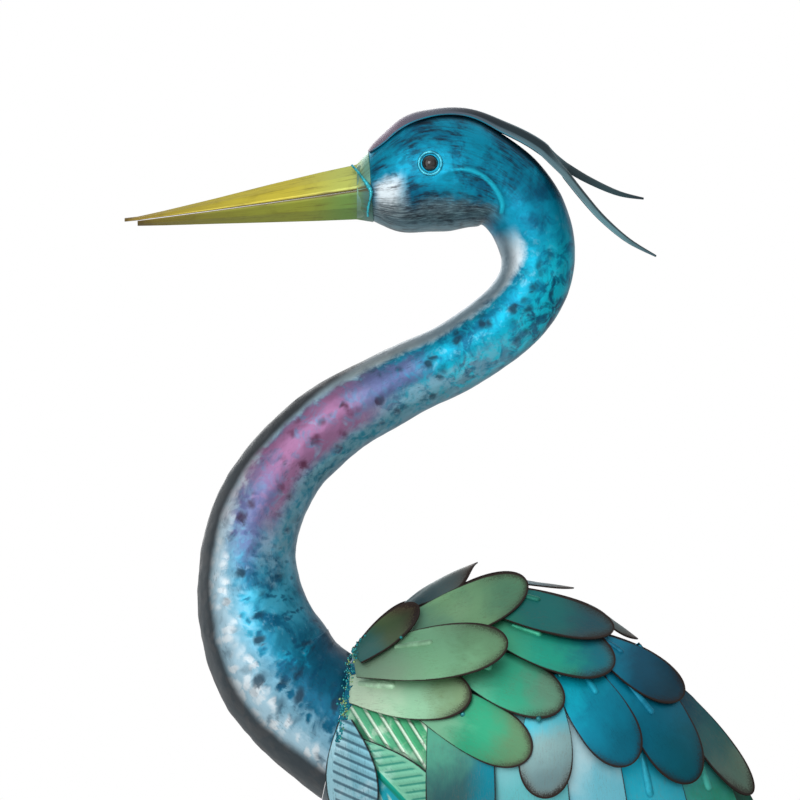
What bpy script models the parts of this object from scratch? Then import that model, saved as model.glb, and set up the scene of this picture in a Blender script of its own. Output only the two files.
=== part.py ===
"""Crane garden statue: a painted sheet-metal crane with layered feather plates on a low oval base.

Metres, +Z up. The crane faces -X, the origin is the centre of the base's underside, and y = 0 is
the plane of symmetry. The figure is drawn from its left side on a grid of columns (to the tail) and
rows (down from the crown), whose division is a share of the statue's height.
"""

import math

import bmesh
import bpy
from mathutils import Matrix, Vector

# Overall size and the drawing grid
HEIGHT = 1.0
GRID_ROWS = 1333
CROWN_ROW = 108
MIDDLE_COLUMN = 520
GRID = HEIGHT / GRID_ROWS

# Sheets, gaps and clearances
PLATE_THICKNESS = 0.0010
CREST_THICKNESS = 0.0010
BEAK_THICKNESS = 0.0012
JOINT_GAP = 0.0003
LAYER_GAP = 0.0009
BODY_CLEARANCE = 0.0011
CREST_CLEARANCE = 0.0006

# Base plate
BASE_LENGTH = 0.320
BASE_WIDTH = 0.220
BASE_THICKNESS = 0.012
BASE_EDGE_RADIUS = 0.004
BASE_SIDES = 40

# Legs and feet
LEG_SPACING = 0.080
LEG_RADIUS = 0.0062
HIP_RADIUS = 0.0100
KNEE_RADIUS = 0.0095
TOE_RADIUS = 0.0038
FRONT_TOE_LENGTH = 0.066
BACK_TOE_LENGTH = 0.036
TOE_SPREAD = math.radians(27)
SOCKET_DEPTH = 0.028
KNEE_BACK = 0.020 * HEIGHT
KNEE_OUT = 0.002 * HEIGHT
KNEE_SHARE = 0.53
THIGH_BACK = 0.006 * HEIGHT
THIGH_SHARE = 0.45
THIGH_RADIUS = LEG_RADIUS * 1.15
ANKLE_FORWARD = 0.004 * HEIGHT
ANKLE_OUT = 0.006 * HEIGHT
ANKLE_RISE = 0.030 * HEIGHT
FOOT_FORWARD = 0.003 * HEIGHT
TOE_ROOT = 0.002
SIDE_TOE_SHARE = 0.92
TOE_ARCH_SHARE = 0.45

# Eyes and the cheek bead, their places on the grid
EYE_SPOT = (430, 164)
CHEEK_LINE = ((444, 171), (458, 166), (474, 168), (488, 178), (499, 194), (503, 207), (500, 218))
EYE_RADIUS = 0.0066
EYE_PROUD = 0.0042
EYE_RING_RADIUS = 0.0084
EYE_RING_WIRE = 0.0013
CHEEK_BEAD_RADIUS = 0.0014

# Meshing
NECK_SIDES = 18
BODY_SIDES = 22
NECK_STEPS = 1
BODY_STEPS = 2
SQUARE_SECTIONS = 4
PLATE_ROWS = (0.0, 0.20, 0.42, 0.64, 0.82, 0.94, 1.0)
PLATE_COLUMNS = (-1.0, -0.36, 0.36, 1.0)
RIDGE_COLUMNS = (-1.0, -0.5, 0.0, 0.5, 1.0)
PLATE_MARGIN = 0.0018
PLATE_SAMPLES = (13, 7)
SLOPE_REACH = 0.002
SOCKET_SIDES = 16

# The seam where the neck meets the body: column, row, radius, side factor, and its direction
SEAM_STATION = (337, 727, 74, 0.97)
SEAM_DIRECTION = Vector((0.978, 0.0, -0.207))

# Head and neck: column, row, radius in the side view, and width as a share of it
HEAD_NECK_STATIONS = (
    (357, 192, 27, 0.80), (366, 189, 30, 0.80), (378, 183.5, 39.5, 0.78), (397, 180.5, 53, 0.75),
    (425, 172.5, 60, 0.74), (458, 173, 58.5, 0.76), (487, 180.5, 49.5, 0.82), (508, 192, 43, 0.88),
    (524, 211, 41, 0.92), (534, 234, 39.5, 0.94), (538, 258, 37.5, 0.95), (534, 282, 36.5, 0.96),
    (521, 305, 36.3, 0.96), (499, 327, 36.3, 0.96), (455, 357, 36, 0.96), (414, 376, 36.5, 0.96),
    (376, 396, 38, 0.96), (340, 416, 39.4, 0.96), (310, 440, 40.7, 0.96), (286, 465, 41.5, 0.96),
    (267, 494, 44, 0.96), (254, 525, 46, 0.96), (248, 559, 48.5, 0.96), (250, 595, 53.5, 0.96),
    (259, 626, 60, 0.96), (270, 652, 64.5, 0.96), (284, 676, 66, 0.96), (306, 703, 64, 0.97),
    SEAM_STATION,
)

# Body: the same four values from the seam to the tail
BODY_FRONT = (
    SEAM_STATION, (365, 732, 95, 0.94), (400, 738, 116, 0.90), (440, 745, 138, 0.87),
    (480, 752, 154, 0.85), (560, 784, 152, 0.87), (635, 822, 121, 0.90),
)
BODY_END = ((700, 862, 76, 0.92), (746, 892, 42, 0.95), (778, 914, 12, 1.0))
SHELL_END = ((700, 862, 79, 0.92), (768, 906, 58, 0.84), (840, 955, 44, 0.75), (910, 1005, 30, 0.7))

# Beyond this share of the radius the feather layer runs straight on instead of closing round,
# and it stays this far from the middle plane
SHELL_STRAIGHT_FROM = 0.85
RIDGE_HALF_GAP = 0.0030

# Outline of a plate: where it is widest, how full its tip is, and how blunt the tip ends
PLATE_WIDEST = 0.58
PLATE_FULLNESS = 2.4
PLATE_BLUNTNESS = 0.03

# Slopes that a plate may lie at: rise for its length and for its width
PLATE_PITCHES = tuple(0.012 * step for step in range(-2, 13))
PLATE_ROLLS = tuple(0.02 * step for step in range(-5, 6))

# Beak: column, row of the ridge, the mouth line and the keel, and half width, all on the grid
BEAK_STATIONS = (
    (357, 165, 190.5, 219, 20.5), (320, 173, 196, 220.5, 18.0), (270, 185, 203, 222, 14.4),
    (215, 199, 210.5, 223.5, 10.5), (165, 211, 217, 225, 6.8), (138, 217, 220.5, 225.5, 4.4),
)
UPPER_TIP = (125, 218.5, 222.0, 3.2)
BEAK_LIP = 0.14
BEAK_CREASE = 0.58
UPPER_CREASE_WIDTH = 0.72
LOWER_CREASE_WIDTH = 0.78
BEAK_MIDDLE = (250, 205)

# Crest: lift over the head's stations, then the two free plumes (column, row, side, half width)
CREST_SADDLE = (
    (1.5, 0.20), (2.0, 0.34), (2.5, 0.40), (3.0, 0.44), (3.5, 0.48), (4.0, 0.50), (4.5, 0.50),
    (5.0, 0.47), (5.5, 0.42), (6.0, 0.37), (6.5, 0.32), (7.0, 0.28),
)
CREST_LIFT_FROM = 4.2
CREST_EDGE_LIFT_FROM = 5.8
CREST_LIFT_RATE = 5.0
CREST_LIFT_POWER = 1.2
LEFT_PLUME = (
    (568, 172, 13, 9.5), (585, 194, 18, 9.0), (604, 216.5, 20, 7.8), (629, 239, 19, 5.6), (656, 256, 15, 1.6),
)
RIGHT_PLUME = (
    (567, 163, 13, 9.5), (590, 177, 19, 8.0), (619, 191, 20, 5.5), (644, 198, 16, 1.6),
)
PLUME_ARCH = 0.80
PLUME_COLUMNS = (-1.0, -0.33, 0.33, 1.0)
CREST_HALF_COLUMNS = 3

# Plates of one side, from the lowest layer to the top one:
# name, root column and row, tip column and row, width, and root width as a share
LEAVES = (
    ("breast_leaf_1", 353, 703, 466, 788, 62, 0.45),
    ("breast_leaf_2", 351, 742, 446, 842, 74, 0.30),
    ("breast_leaf_3", 346, 718, 357, 826, 52, 0.25),
)
FLIGHT_FEATHERS = (
    ("flight_feather_6", 705, 745, 800, 955, 46, 0.62),
    ("flight_feather_5", 680, 722, 750, 958, 66, 0.70),
    ("flight_feather_4", 632, 708, 682, 936, 66, 0.70),
    ("flight_feather_3", 578, 700, 604, 912, 70, 0.75),
    ("flight_feather_2", 524, 700, 536, 890, 76, 0.75),
    ("flight_feather_1", 459, 700, 461, 870, 69, 0.90),
)
SHOULDER_FEATHERS = (
    ("shoulder_feather_13", 671, 688, 751, 793, 32, 0.50),
    ("shoulder_feather_12", 632, 668, 692, 779, 54, 0.80),
    ("shoulder_feather_11", 566, 664, 630, 760, 57, 0.65),
    ("shoulder_feather_10", 545, 696, 543, 794, 54, 0.55),
    ("shoulder_feather_9", 598, 642, 682, 695, 40, 0.50),
    ("shoulder_feather_8", 426, 696, 529, 752, 57, 0.75),
    ("shoulder_feather_7", 453, 655, 562, 702, 54, 0.50),
    ("shoulder_feather_6", 474, 612, 613, 663, 54, 0.50),
    ("shoulder_feather_5", 466, 592, 613, 628, 38, 0.50),
    ("shoulder_feather_4", 404, 637, 527, 581, 47, 0.80),
    ("shoulder_feather_3", 350, 688, 471, 692, 54, 0.50),
    ("shoulder_feather_2", 355, 664, 507, 639, 52, 0.45),
    ("shoulder_feather_1", 357, 656, 418, 604, 28, 0.50),
)

# Plates on the ridge of the back, the same values, and how far each arches down at its widest
BACK_FEATHERS = (
    ("back_feather_4", 680, 688, 722, 731, 34, 0.60, 0.20),
    ("back_feather_3", 588, 606, 638, 639, 44, 0.60, 0.30),
    ("back_feather_2", 504, 581, 574, 588, 36, 0.60, 0.16),
    ("back_feather_1", 402, 608, 478, 563, 52, 0.50, 0.60),
)
TAIL = ("tail", 752, 826, 905, 1000, 112, 0.46, 0.30)
RIDGE_CLEARANCE = 0.0024
RIDGE_REACH = 0.05

# Paint: colour, roughness and metallic value
PAINTS = {
    "blue": ((0.03, 0.30, 0.42, 1.0), 0.35, 0.6),
    "teal": ((0.05, 0.33, 0.30, 1.0), 0.35, 0.6),
    "green": ((0.20, 0.42, 0.24, 1.0), 0.38, 0.6),
    "pale": ((0.45, 0.66, 0.62, 1.0), 0.35, 0.6),
    "gold": ((0.45, 0.33, 0.06, 1.0), 0.4, 0.5),
    "mauve": ((0.20, 0.16, 0.28, 1.0), 0.35, 0.6),
    "black": ((0.01, 0.01, 0.01, 1.0), 0.1, 0.0),
    "bronze": ((0.08, 0.07, 0.06, 1.0), 0.5, 0.7),
}
PLATE_COLOURS = {"breast": "pale", "flight": "teal", "shoulder": "green"}


def clear_scene():
    """Empty the file of objects."""
    for item in list(bpy.data.objects):
        bpy.data.objects.remove(item, do_unlink=True)


def make_collection(name):
    """Return a new collection linked to the scene."""
    collection = bpy.data.collections.new(name)
    bpy.context.scene.collection.children.link(collection)
    return collection


def make_paint(name, colour):
    """Return a material with one Principled shader."""
    rgba, roughness, metallic = PAINTS[colour]
    material = bpy.data.materials.new(name + "_paint")
    material.use_nodes = True
    shader = material.node_tree.nodes["Principled BSDF"]
    shader.inputs["Base Color"].default_value = rgba
    shader.inputs["Roughness"].default_value = roughness
    shader.inputs["Metallic"].default_value = metallic
    return material


def at(column, row, side=0.0):
    """Return the point of a grid position, side given on the grid too."""
    return Vector(((column - MIDDLE_COLUMN) * GRID, side * GRID, HEIGHT - (row - CROWN_ROW) * GRID))


def add_object(name, bm, colour, collection, smooth=True):
    """Write a bmesh to a new object with its own paint."""
    bmesh.ops.recalc_face_normals(bm, faces=bm.faces)
    mesh = bpy.data.meshes.new(name)
    bm.to_mesh(mesh)
    bm.free()
    item = bpy.data.objects.new(name, mesh)
    collection.objects.link(item)
    mesh.materials.append(make_paint(name, colour))
    if smooth:
        mesh.shade_smooth()
        mesh.set_sharp_from_angle(angle=math.radians(40))
    return item


def as_cutter(item):
    """Mark an object as a helper that is only used by a Boolean."""
    item.hide_render = True
    item.display_type = "WIRE"
    return item


def add_boolean(item, helper, operation):
    """Add an exact Boolean modifier."""
    modifier = item.modifiers.new(operation.lower() + "_" + helper.name, "BOOLEAN")
    modifier.operation = operation
    modifier.solver = "EXACT"
    modifier.object = helper


def add_solidify(item, thickness, offset=0.0):
    """Give an open sheet its thickness."""
    modifier = item.modifiers.new("sheet", "SOLIDIFY")
    modifier.thickness = thickness
    modifier.offset = offset
    modifier.use_even_offset = True


def smooth_rows(rows, steps):
    """Return rows of numbers on a smooth curve through the given rows."""
    result = []
    last = len(rows) - 1
    for index in range(last):
        before = rows[max(index - 1, 0)]
        start = rows[index]
        end = rows[index + 1]
        after = rows[min(index + 2, last)]
        for step in range(steps):
            t = step / steps
            values = []
            for a, b, c, d in zip(before, start, end, after):
                curve = 2 * b + (c - a) * t + (2 * a - 5 * b + 4 * c - d) * t ** 2 + (3 * b - 3 * c + d - a) * t ** 3
                values.append(0.5 * curve)
            result.append(tuple(values))
    result.append(tuple(rows[last]))
    return result


class Tube:
    """A form swept along a centre line in the plane y = 0, with oval sections across it."""

    def __init__(self, stations, steps, first_direction, last_direction=None):
        rows = smooth_rows(stations, steps)
        self.steps = steps
        self.centres = [at(row[0], row[1]) for row in rows]
        self.radii = [row[2] * GRID for row in rows]
        self.widths = [row[2] * row[3] * GRID for row in rows]
        self.directions = []
        last = len(rows) - 1
        for index in range(len(rows)):
            direction = self.centres[min(index + 1, last)] - self.centres[max(index - 1, 0)]
            self.directions.append(direction.normalized())
        for index in range(SQUARE_SECTIONS):
            share = index / SQUARE_SECTIONS
            self.directions[index] = first_direction.normalized().lerp(self.directions[index], share).normalized()
        if last_direction is not None:
            self.directions[last] = last_direction.normalized()
        self.ups = [Vector((-d.z, 0.0, d.x)) for d in self.directions]

    def section(self, index, angle, lift=0.0):
        """Return the point at an angle from the upper side of one section."""
        up = self.ups[index] * ((self.radii[index] + lift) * math.cos(angle))
        side = Vector((0.0, (self.widths[index] + lift) * math.sin(angle), 0.0))
        return self.centres[index] + up + side

    def between(self, position, angle, lift):
        """Return a point at a position counted in stations, between two sections."""
        exact = position * self.steps
        index = min(int(exact), len(self.centres) - 2)
        share = exact - index
        return self.section(index, angle, lift).lerp(self.section(index + 1, angle, lift), share)

    def locate(self, point):
        """Return the nearest centre line position: height across it, radius and width there."""
        best = None
        for index in range(len(self.centres) - 1):
            start = self.centres[index]
            run = self.centres[index + 1] - start
            share = (point - start).dot(run) / run.length_squared
            share = min(max(share, 0.0), 1.0)
            foot = start + run * share
            gap = Vector((point.x - foot.x, 0.0, point.z - foot.z))
            if best is None or gap.length < best[0]:
                up = self.ups[index].lerp(self.ups[index + 1], share)
                radius = self.radii[index] + (self.radii[index + 1] - self.radii[index]) * share
                width = self.widths[index] + (self.widths[index + 1] - self.widths[index]) * share
                height = math.copysign(gap.length, gap.dot(up))
                best = (gap.length, height, radius, width)
        return best[1:]

    def side_at(self, point):
        """Return how far the oval surface stands from the middle plane at a side view point."""
        height, radius, width = self.locate(point)
        share = min(abs(height) / radius, 1.0)
        return width * math.sqrt(1.0 - share * share)

    def layer_at(self, point):
        """Return the same for the feather layer, which runs on straight near the ridge."""
        height, radius, width = self.locate(point)
        share = abs(height) / radius
        if share <= SHELL_STRAIGHT_FROM:
            return width * math.sqrt(1.0 - share * share)
        depth = math.sqrt(1.0 - SHELL_STRAIGHT_FROM ** 2)
        slope = SHELL_STRAIGHT_FROM / depth
        return max(width * (depth - slope * (share - SHELL_STRAIGHT_FROM)), RIDGE_HALF_GAP)


def loft(rings, cap_ends=True):
    """Join rings of points, each ring closed, into a skin."""
    bm = bmesh.new()
    loops = [[bm.verts.new(point) for point in ring] for ring in rings]
    count = len(loops[0])
    for near, far in zip(loops, loops[1:]):
        for index in range(count):
            after = (index + 1) % count
            bm.faces.new((near[index], near[after], far[after], far[index]))
    if cap_ends:
        bm.faces.new(loops[0])
        bm.faces.new(loops[-1])
    return bm


def sheet(rows):
    """Join rows of points, each row open, into an open sheet."""
    bm = bmesh.new()
    lines = [[bm.verts.new(point) for point in row] for row in rows]
    for near, far in zip(lines, lines[1:]):
        for index in range(len(near) - 1):
            bm.faces.new((near[index], near[index + 1], far[index + 1], far[index]))
    return bm


def tube_rings(tube, sides):
    """Return every section of a tube as a ring of points."""
    rings = []
    for index in range(len(tube.centres)):
        rings.append([tube.section(index, 2 * math.pi * step / sides) for step in range(sides)])
    return rings


def rod(name, points, radii, colour, collection, resolution=2):
    """Return a round rod through points, its caps welded on."""
    curve = bpy.data.curves.new(name, "CURVE")
    curve.dimensions = "3D"
    curve.bevel_depth = 1.0
    curve.bevel_resolution = resolution
    curve.use_fill_caps = True
    spline = curve.splines.new("POLY")
    spline.points.add(len(points) - 1)
    for target, point, radius in zip(spline.points, points, radii):
        target.co = (point[0], point[1], point[2], 1.0)
        target.radius = radius
    draft = bpy.data.objects.new(name + "_curve", curve)
    collection.objects.link(draft)
    bpy.context.view_layer.update()
    evaluated = draft.evaluated_get(bpy.context.evaluated_depsgraph_get())
    mesh = bpy.data.meshes.new_from_object(evaluated)
    bm = bmesh.new()
    bm.from_mesh(mesh)
    bmesh.ops.remove_doubles(bm, verts=bm.verts, dist=0.00001)
    bpy.data.objects.remove(draft, do_unlink=True)
    bpy.data.meshes.remove(mesh)
    return add_object(name, bm, colour, collection)


class Plate:
    """One feather plate of the left side, as an outline in the side view and a slope over the layer."""

    def __init__(self, row, shell):
        self.name, column, line, tip_column, tip_line, width, self.root_share = row
        self.root = at(column, line)
        run = at(tip_column, tip_line) - self.root
        self.length = run.length
        self.along = run.normalized()
        self.across = Vector((-self.along.z, 0.0, self.along.x))
        self.half_width = width * GRID / 2
        self.shell = shell
        self.base = 0.0
        self.pitch = 0.0
        self.roll = 0.0
        self.sides = [[shell.layer_at(self.spot(share, across)) for across in PLATE_COLUMNS] for share in PLATE_ROWS]

    def outline(self, share):
        """Return the half width at a share of the length."""
        if share <= PLATE_WIDEST:
            swell = math.sin(share / PLATE_WIDEST * math.pi / 2)
            return self.half_width * (self.root_share + (1.0 - self.root_share) * swell)
        fall = (share - PLATE_WIDEST) / (1.0 - PLATE_WIDEST)
        return self.half_width * math.sqrt(max(1.0 - fall ** PLATE_FULLNESS, PLATE_BLUNTNESS))

    def spot(self, share, across):
        """Return the side view point at a share of the length and of the half width."""
        return self.root + self.along * (self.length * share) + self.across * (self.outline(share) * across)

    def covers(self, point, margin):
        """Tell if a side view point lies on the plate or within a margin of it."""
        offset = point - self.root
        along = offset.dot(self.along)
        if along < -margin or along > self.length + margin:
            return False
        share = min(max(along / self.length, 0.0), 1.0)
        return abs(offset.dot(self.across)) <= self.outline(share) + margin

    def height_at(self, point):
        """Return the plate's height over the feather layer."""
        offset = point - self.root
        return self.base + self.pitch * offset.dot(self.along) + self.roll * offset.dot(self.across)

    def side_at(self, point):
        """Return how far the faceted plate stands from the middle plane at a side view point."""
        offset = point - self.root
        share = min(max(offset.dot(self.along) / self.length, 0.0), 1.0)
        across = min(max(offset.dot(self.across) / self.outline(share), -1.0), 1.0)
        row, down = cell(PLATE_ROWS, share)
        column, over = cell(PLATE_COLUMNS, across)
        near = self.sides[row][column] * (1 - over) + self.sides[row][column + 1] * over
        far = self.sides[row + 1][column] * (1 - over) + self.sides[row + 1][column + 1] * over
        return near * (1 - down) + far * down + self.height_at(point)

    def samples(self):
        """Return points all over the plate in the side view."""
        rows, columns = PLATE_SAMPLES
        points = [self.spot(share, across) for share in PLATE_ROWS for across in PLATE_COLUMNS]
        for row in range(rows):
            for column in range(columns):
                points.append(self.spot(row / (rows - 1), 2 * column / (columns - 1) - 1))
        return points

    def settle(self, lower):
        """Lay the plate down: as low as it goes over the body and the plates below it."""
        limits = []
        spots = [(point, plate) for plate in lower for point in self.samples() if plate.covers(point, PLATE_MARGIN)]
        spots += [(point, plate) for plate in lower for point in plate.samples() if self.covers(point, PLATE_MARGIN)]
        for point, plate in spots:
            apart = (PLATE_THICKNESS + LAYER_GAP) * layer_stretch(self.shell, point)
            limits.append((point, plate.side_at(point) + apart - self.side_at(point)))
        for point in self.samples():
            apart = (PLATE_THICKNESS / 2 + BODY_CLEARANCE) * layer_stretch(self.shell, point)
            limits.append((point, self.shell.layer_at(point) + apart - self.side_at(point)))
        best = None
        middle = self.spot(0.5, 0.0)
        for self.pitch in PLATE_PITCHES:
            for self.roll in PLATE_ROLLS:
                self.base = 0.0
                self.base = max(need - self.height_at(point) for point, need in limits)
                score = self.height_at(middle)
                if best is None or score < best[0]:
                    best = (score, self.base, self.pitch, self.roll)
        self.base, self.pitch, self.roll = best[1:]

    def surface(self, point, sign):
        """Return the plate's middle surface over a side view point, on one side of the bird."""
        side = self.shell.layer_at(point) + self.height_at(point)
        return Vector((point.x, sign * side, point.z))


def cell(stops, value):
    """Return the index of the stop before a value and the share of the way to the next stop."""
    index = 0
    while index < len(stops) - 2 and value > stops[index + 1]:
        index += 1
    return index, (value - stops[index]) / (stops[index + 1] - stops[index])


def layer_stretch(shell, point):
    """Return how much longer a sideways gap is than the same gap square to the feather layer."""
    here = shell.layer_at(point)
    rise_x = (shell.layer_at(point + Vector((SLOPE_REACH, 0.0, 0.0))) - here) / SLOPE_REACH
    rise_z = (shell.layer_at(point + Vector((0.0, 0.0, SLOPE_REACH))) - here) / SLOPE_REACH
    return math.sqrt(1.0 + rise_x ** 2 + rise_z ** 2)


def ridge_plate_rows(row, below, shell):
    """Return the rows of points of a plate that straddles the ridge, clear of the points below it."""
    shape = Plate(row[:-1], shell)
    ridge_arch = row[-1]
    root = shape.root
    along = shape.along
    up = shape.across
    length = shape.length
    half = shape.half_width
    lift = 0.0
    for point in below:
        offset = point - root
        share = offset.dot(along) / length
        if -RIDGE_REACH <= share <= 1.0 + RIDGE_REACH and abs(point.y) <= half + PLATE_MARGIN:
            arch = -ridge_arch * point.y ** 2 / half
            lift = max(lift, offset.dot(up) - arch + RIDGE_CLEARANCE)
    rows = []
    for share in PLATE_ROWS:
        reach = shape.outline(share)
        line_points = []
        for column_share in RIDGE_COLUMNS:
            side = reach * column_share
            drop = up * (lift - ridge_arch * side * side / half)
            line_points.append(root + along * (length * share) + drop + Vector((0.0, side, 0.0)))
        rows.append(line_points)
    return rows


def build_head_neck(tube, parts, cutters):
    """Head and neck in one form, with eye rings, cheek beads and sockets for the eyes."""
    rings = tube_rings(tube, NECK_SIDES)
    head = add_object("head_neck", loft(rings), "blue", parts)
    eye_spot = at(*EYE_SPOT)
    for name, sign in (("left", -1), ("right", 1)):
        side = tube.side_at(eye_spot)
        bpy.ops.mesh.primitive_torus_add(
            major_segments=16, minor_segments=6, major_radius=EYE_RING_RADIUS, minor_radius=EYE_RING_WIRE)
        ring = bpy.context.object
        ring.name = "eye_ring_" + name
        move_to(ring, cutters)
        ring.location = (eye_spot.x, sign * side, eye_spot.z)
        ring.rotation_euler = (math.radians(90), 0.0, 0.0)
        add_boolean(head, as_cutter(ring), "UNION")
        points = []
        for column, line in CHEEK_LINE:
            spot = at(column, line)
            points.append(Vector((spot.x, sign * tube.side_at(spot), spot.z)))
        bead = rod("cheek_bead_" + name, points, [CHEEK_BEAD_RADIUS] * len(points), "blue", cutters, 1)
        add_boolean(head, as_cutter(bead), "UNION")
    for name, sign in (("left", -1), ("right", 1)):
        centre = Vector((eye_spot.x, sign * (tube.side_at(eye_spot) + EYE_PROUD - EYE_RADIUS), eye_spot.z))
        socket = ball("eye_socket_" + name, centre, EYE_RADIUS + JOINT_GAP, "black", cutters)
        add_boolean(head, as_cutter(socket), "DIFFERENCE")
        ball("eye_" + name, centre, EYE_RADIUS, "black", parts)


def ball(name, centre, radius, colour, collection):
    """Return a sphere, its poles on the Y axis."""
    bm = bmesh.new()
    turn = Matrix.Translation(centre) @ Matrix.Rotation(math.radians(90), 4, "X")
    bmesh.ops.create_uvsphere(bm, u_segments=12, v_segments=7, radius=radius, matrix=turn)
    return add_object(name, bm, colour, collection)


def move_to(item, collection):
    """Keep an object in one collection only."""
    for owner in list(item.users_collection):
        owner.objects.unlink(item)
    collection.objects.link(item)


def beak_rows(stations, edge, far):
    """Return the folded profile of one mandible at each station: mouth edge, lip, crease, ridge, and back."""
    rows = []
    for column, mouth, ridge, half in stations:
        lip = mouth + (ridge - mouth) * BEAK_LIP
        crease = mouth + (ridge - mouth) * BEAK_CREASE
        side = [
            at(column, mouth, half), at(column, lip, half), at(column, crease, half * far), at(column, ridge, 0.0)]
        row = [Vector((point.x, -point.y, point.z)) for point in side] + side[-2::-1]
        shift = Vector((-JOINT_GAP, 0.0, edge))
        rows.append([point + shift for point in row])
    return rows


def build_beak(parts):
    """Two folded sheets that meet along the mouth line."""
    upper = [(column, mouth, ridge, half) for column, ridge, mouth, keel, half in BEAK_STATIONS]
    column, ridge, mouth, half = UPPER_TIP
    upper.append((column, mouth, ridge, half))
    lower = [(column, mouth, keel, half) for column, ridge, mouth, keel, half in BEAK_STATIONS]
    sheets = (
        ("beak_upper", upper, JOINT_GAP, UPPER_CREASE_WIDTH),
        ("beak_lower", lower, -JOINT_GAP, LOWER_CREASE_WIDTH),
    )
    for name, stations, edge, far in sheets:
        item = add_object(name, sheet(beak_rows(stations, edge, far)), "gold", parts, smooth=False)
        face_outwards(item, at(*BEAK_MIDDLE))
        add_solidify(item, BEAK_THICKNESS, -1.0)


def face_outwards(item, inside):
    """Turn an open sheet's faces away from a point."""
    bm = bmesh.new()
    bm.from_mesh(item.data)
    face = max(bm.faces, key=lambda f: f.calc_area())
    if face.normal.dot(face.calc_center_median() - inside) < 0:
        bmesh.ops.reverse_faces(bm, faces=bm.faces)
    bm.to_mesh(item.data)
    bm.free()


def build_crest(tube, parts):
    """A saddle over the crown that forks into two gutter-like plumes."""
    gap = CREST_THICKNESS / 2 + CREST_CLEARANCE
    rows = []
    for position, reach in CREST_SADDLE:
        middle = max(position - CREST_LIFT_FROM, 0.0) ** CREST_LIFT_POWER * CREST_LIFT_RATE * GRID
        edge = max(position - CREST_EDGE_LIFT_FROM, 0.0) ** CREST_LIFT_POWER * CREST_LIFT_RATE * GRID
        row = []
        for step in range(-CREST_HALF_COLUMNS, CREST_HALF_COLUMNS + 1):
            share = step / CREST_HALF_COLUMNS
            rise = middle + (edge - middle) * share ** 2
            row.append(tube.between(position, reach * share, gap + rise))
        rows.append(row)
    bm = sheet(rows)
    bm.verts.ensure_lookup_table()
    fork = [bm.verts[index] for index in range(len(bm.verts) - 2 * CREST_HALF_COLUMNS - 1, len(bm.verts))]
    halves = (
        (-1, LEFT_PLUME, fork[:CREST_HALF_COLUMNS + 1]),
        (1, RIGHT_PLUME, fork[CREST_HALF_COLUMNS:]),
    )
    for sign, plume, near in halves:
        stations = smooth_rows(plume, 2)
        centres = [at(row[0], row[1], sign * row[2]) for row in stations]
        last = len(stations) - 1
        for index, (column, line, side, half) in enumerate(stations):
            run = (centres[min(index + 1, last)] - centres[max(index - 1, 0)]).normalized()
            up = Vector((-run.z, 0.0, run.x)).normalized()
            across = run.cross(up).normalized()
            if across.y < 0:
                across.negate()
            row_verts = []
            for step in PLUME_COLUMNS:
                point = centres[index] + across * (half * GRID * step) - up * (half * GRID * PLUME_ARCH * step * step)
                row_verts.append(bm.verts.new(point))
            for left, right, far_left, far_right in zip(near, near[1:], row_verts, row_verts[1:]):
                bm.faces.new((left, right, far_right, far_left))
            near = row_verts
    crest = add_object("crest", bm, "mauve", parts)
    add_solidify(crest, CREST_THICKNESS)


def build_body(tube, hips, parts, cutters):
    """The egg-shaped body, with a socket for each leg, cut by a bar that comes in from below."""
    rings = tube_rings(tube, BODY_SIDES)
    shift = SEAM_DIRECTION.normalized() * JOINT_GAP
    rings[0] = [point + shift for point in rings[0]]
    body = add_object("body", loft(rings), "teal", parts)
    for name, hip in hips.items():
        radius = HIP_RADIUS + JOINT_GAP
        bar_length = 4 * SOCKET_DEPTH
        bm = bmesh.new()
        place = Matrix.Translation(hip + Vector((0.0, 0.0, SOCKET_DEPTH + JOINT_GAP - bar_length / 2)))
        bmesh.ops.create_cone(
            bm, cap_ends=True, segments=SOCKET_SIDES, radius1=radius, radius2=radius, depth=bar_length, matrix=place)
        socket = add_object("socket_" + name, bm, "bronze", cutters)
        add_boolean(body, as_cutter(socket), "DIFFERENCE")


def underside(tube, x, y):
    """Return the height of the body's underside over a point of the ground."""
    lowest = HEIGHT
    for index in range(len(tube.centres) - 1):
        spots = []
        for near in (index, index + 1):
            share = min(abs(y) / tube.widths[near], 1.0)
            spots.append(tube.centres[near] - tube.ups[near] * tube.radii[near] * math.sqrt(1.0 - share * share))
        first, second = spots
        if min(first.x, second.x) <= x <= max(first.x, second.x) and first.x != second.x:
            share = (x - first.x) / (second.x - first.x)
            lowest = min(lowest, first.z + (second.z - first.z) * share)
    return lowest


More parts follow.
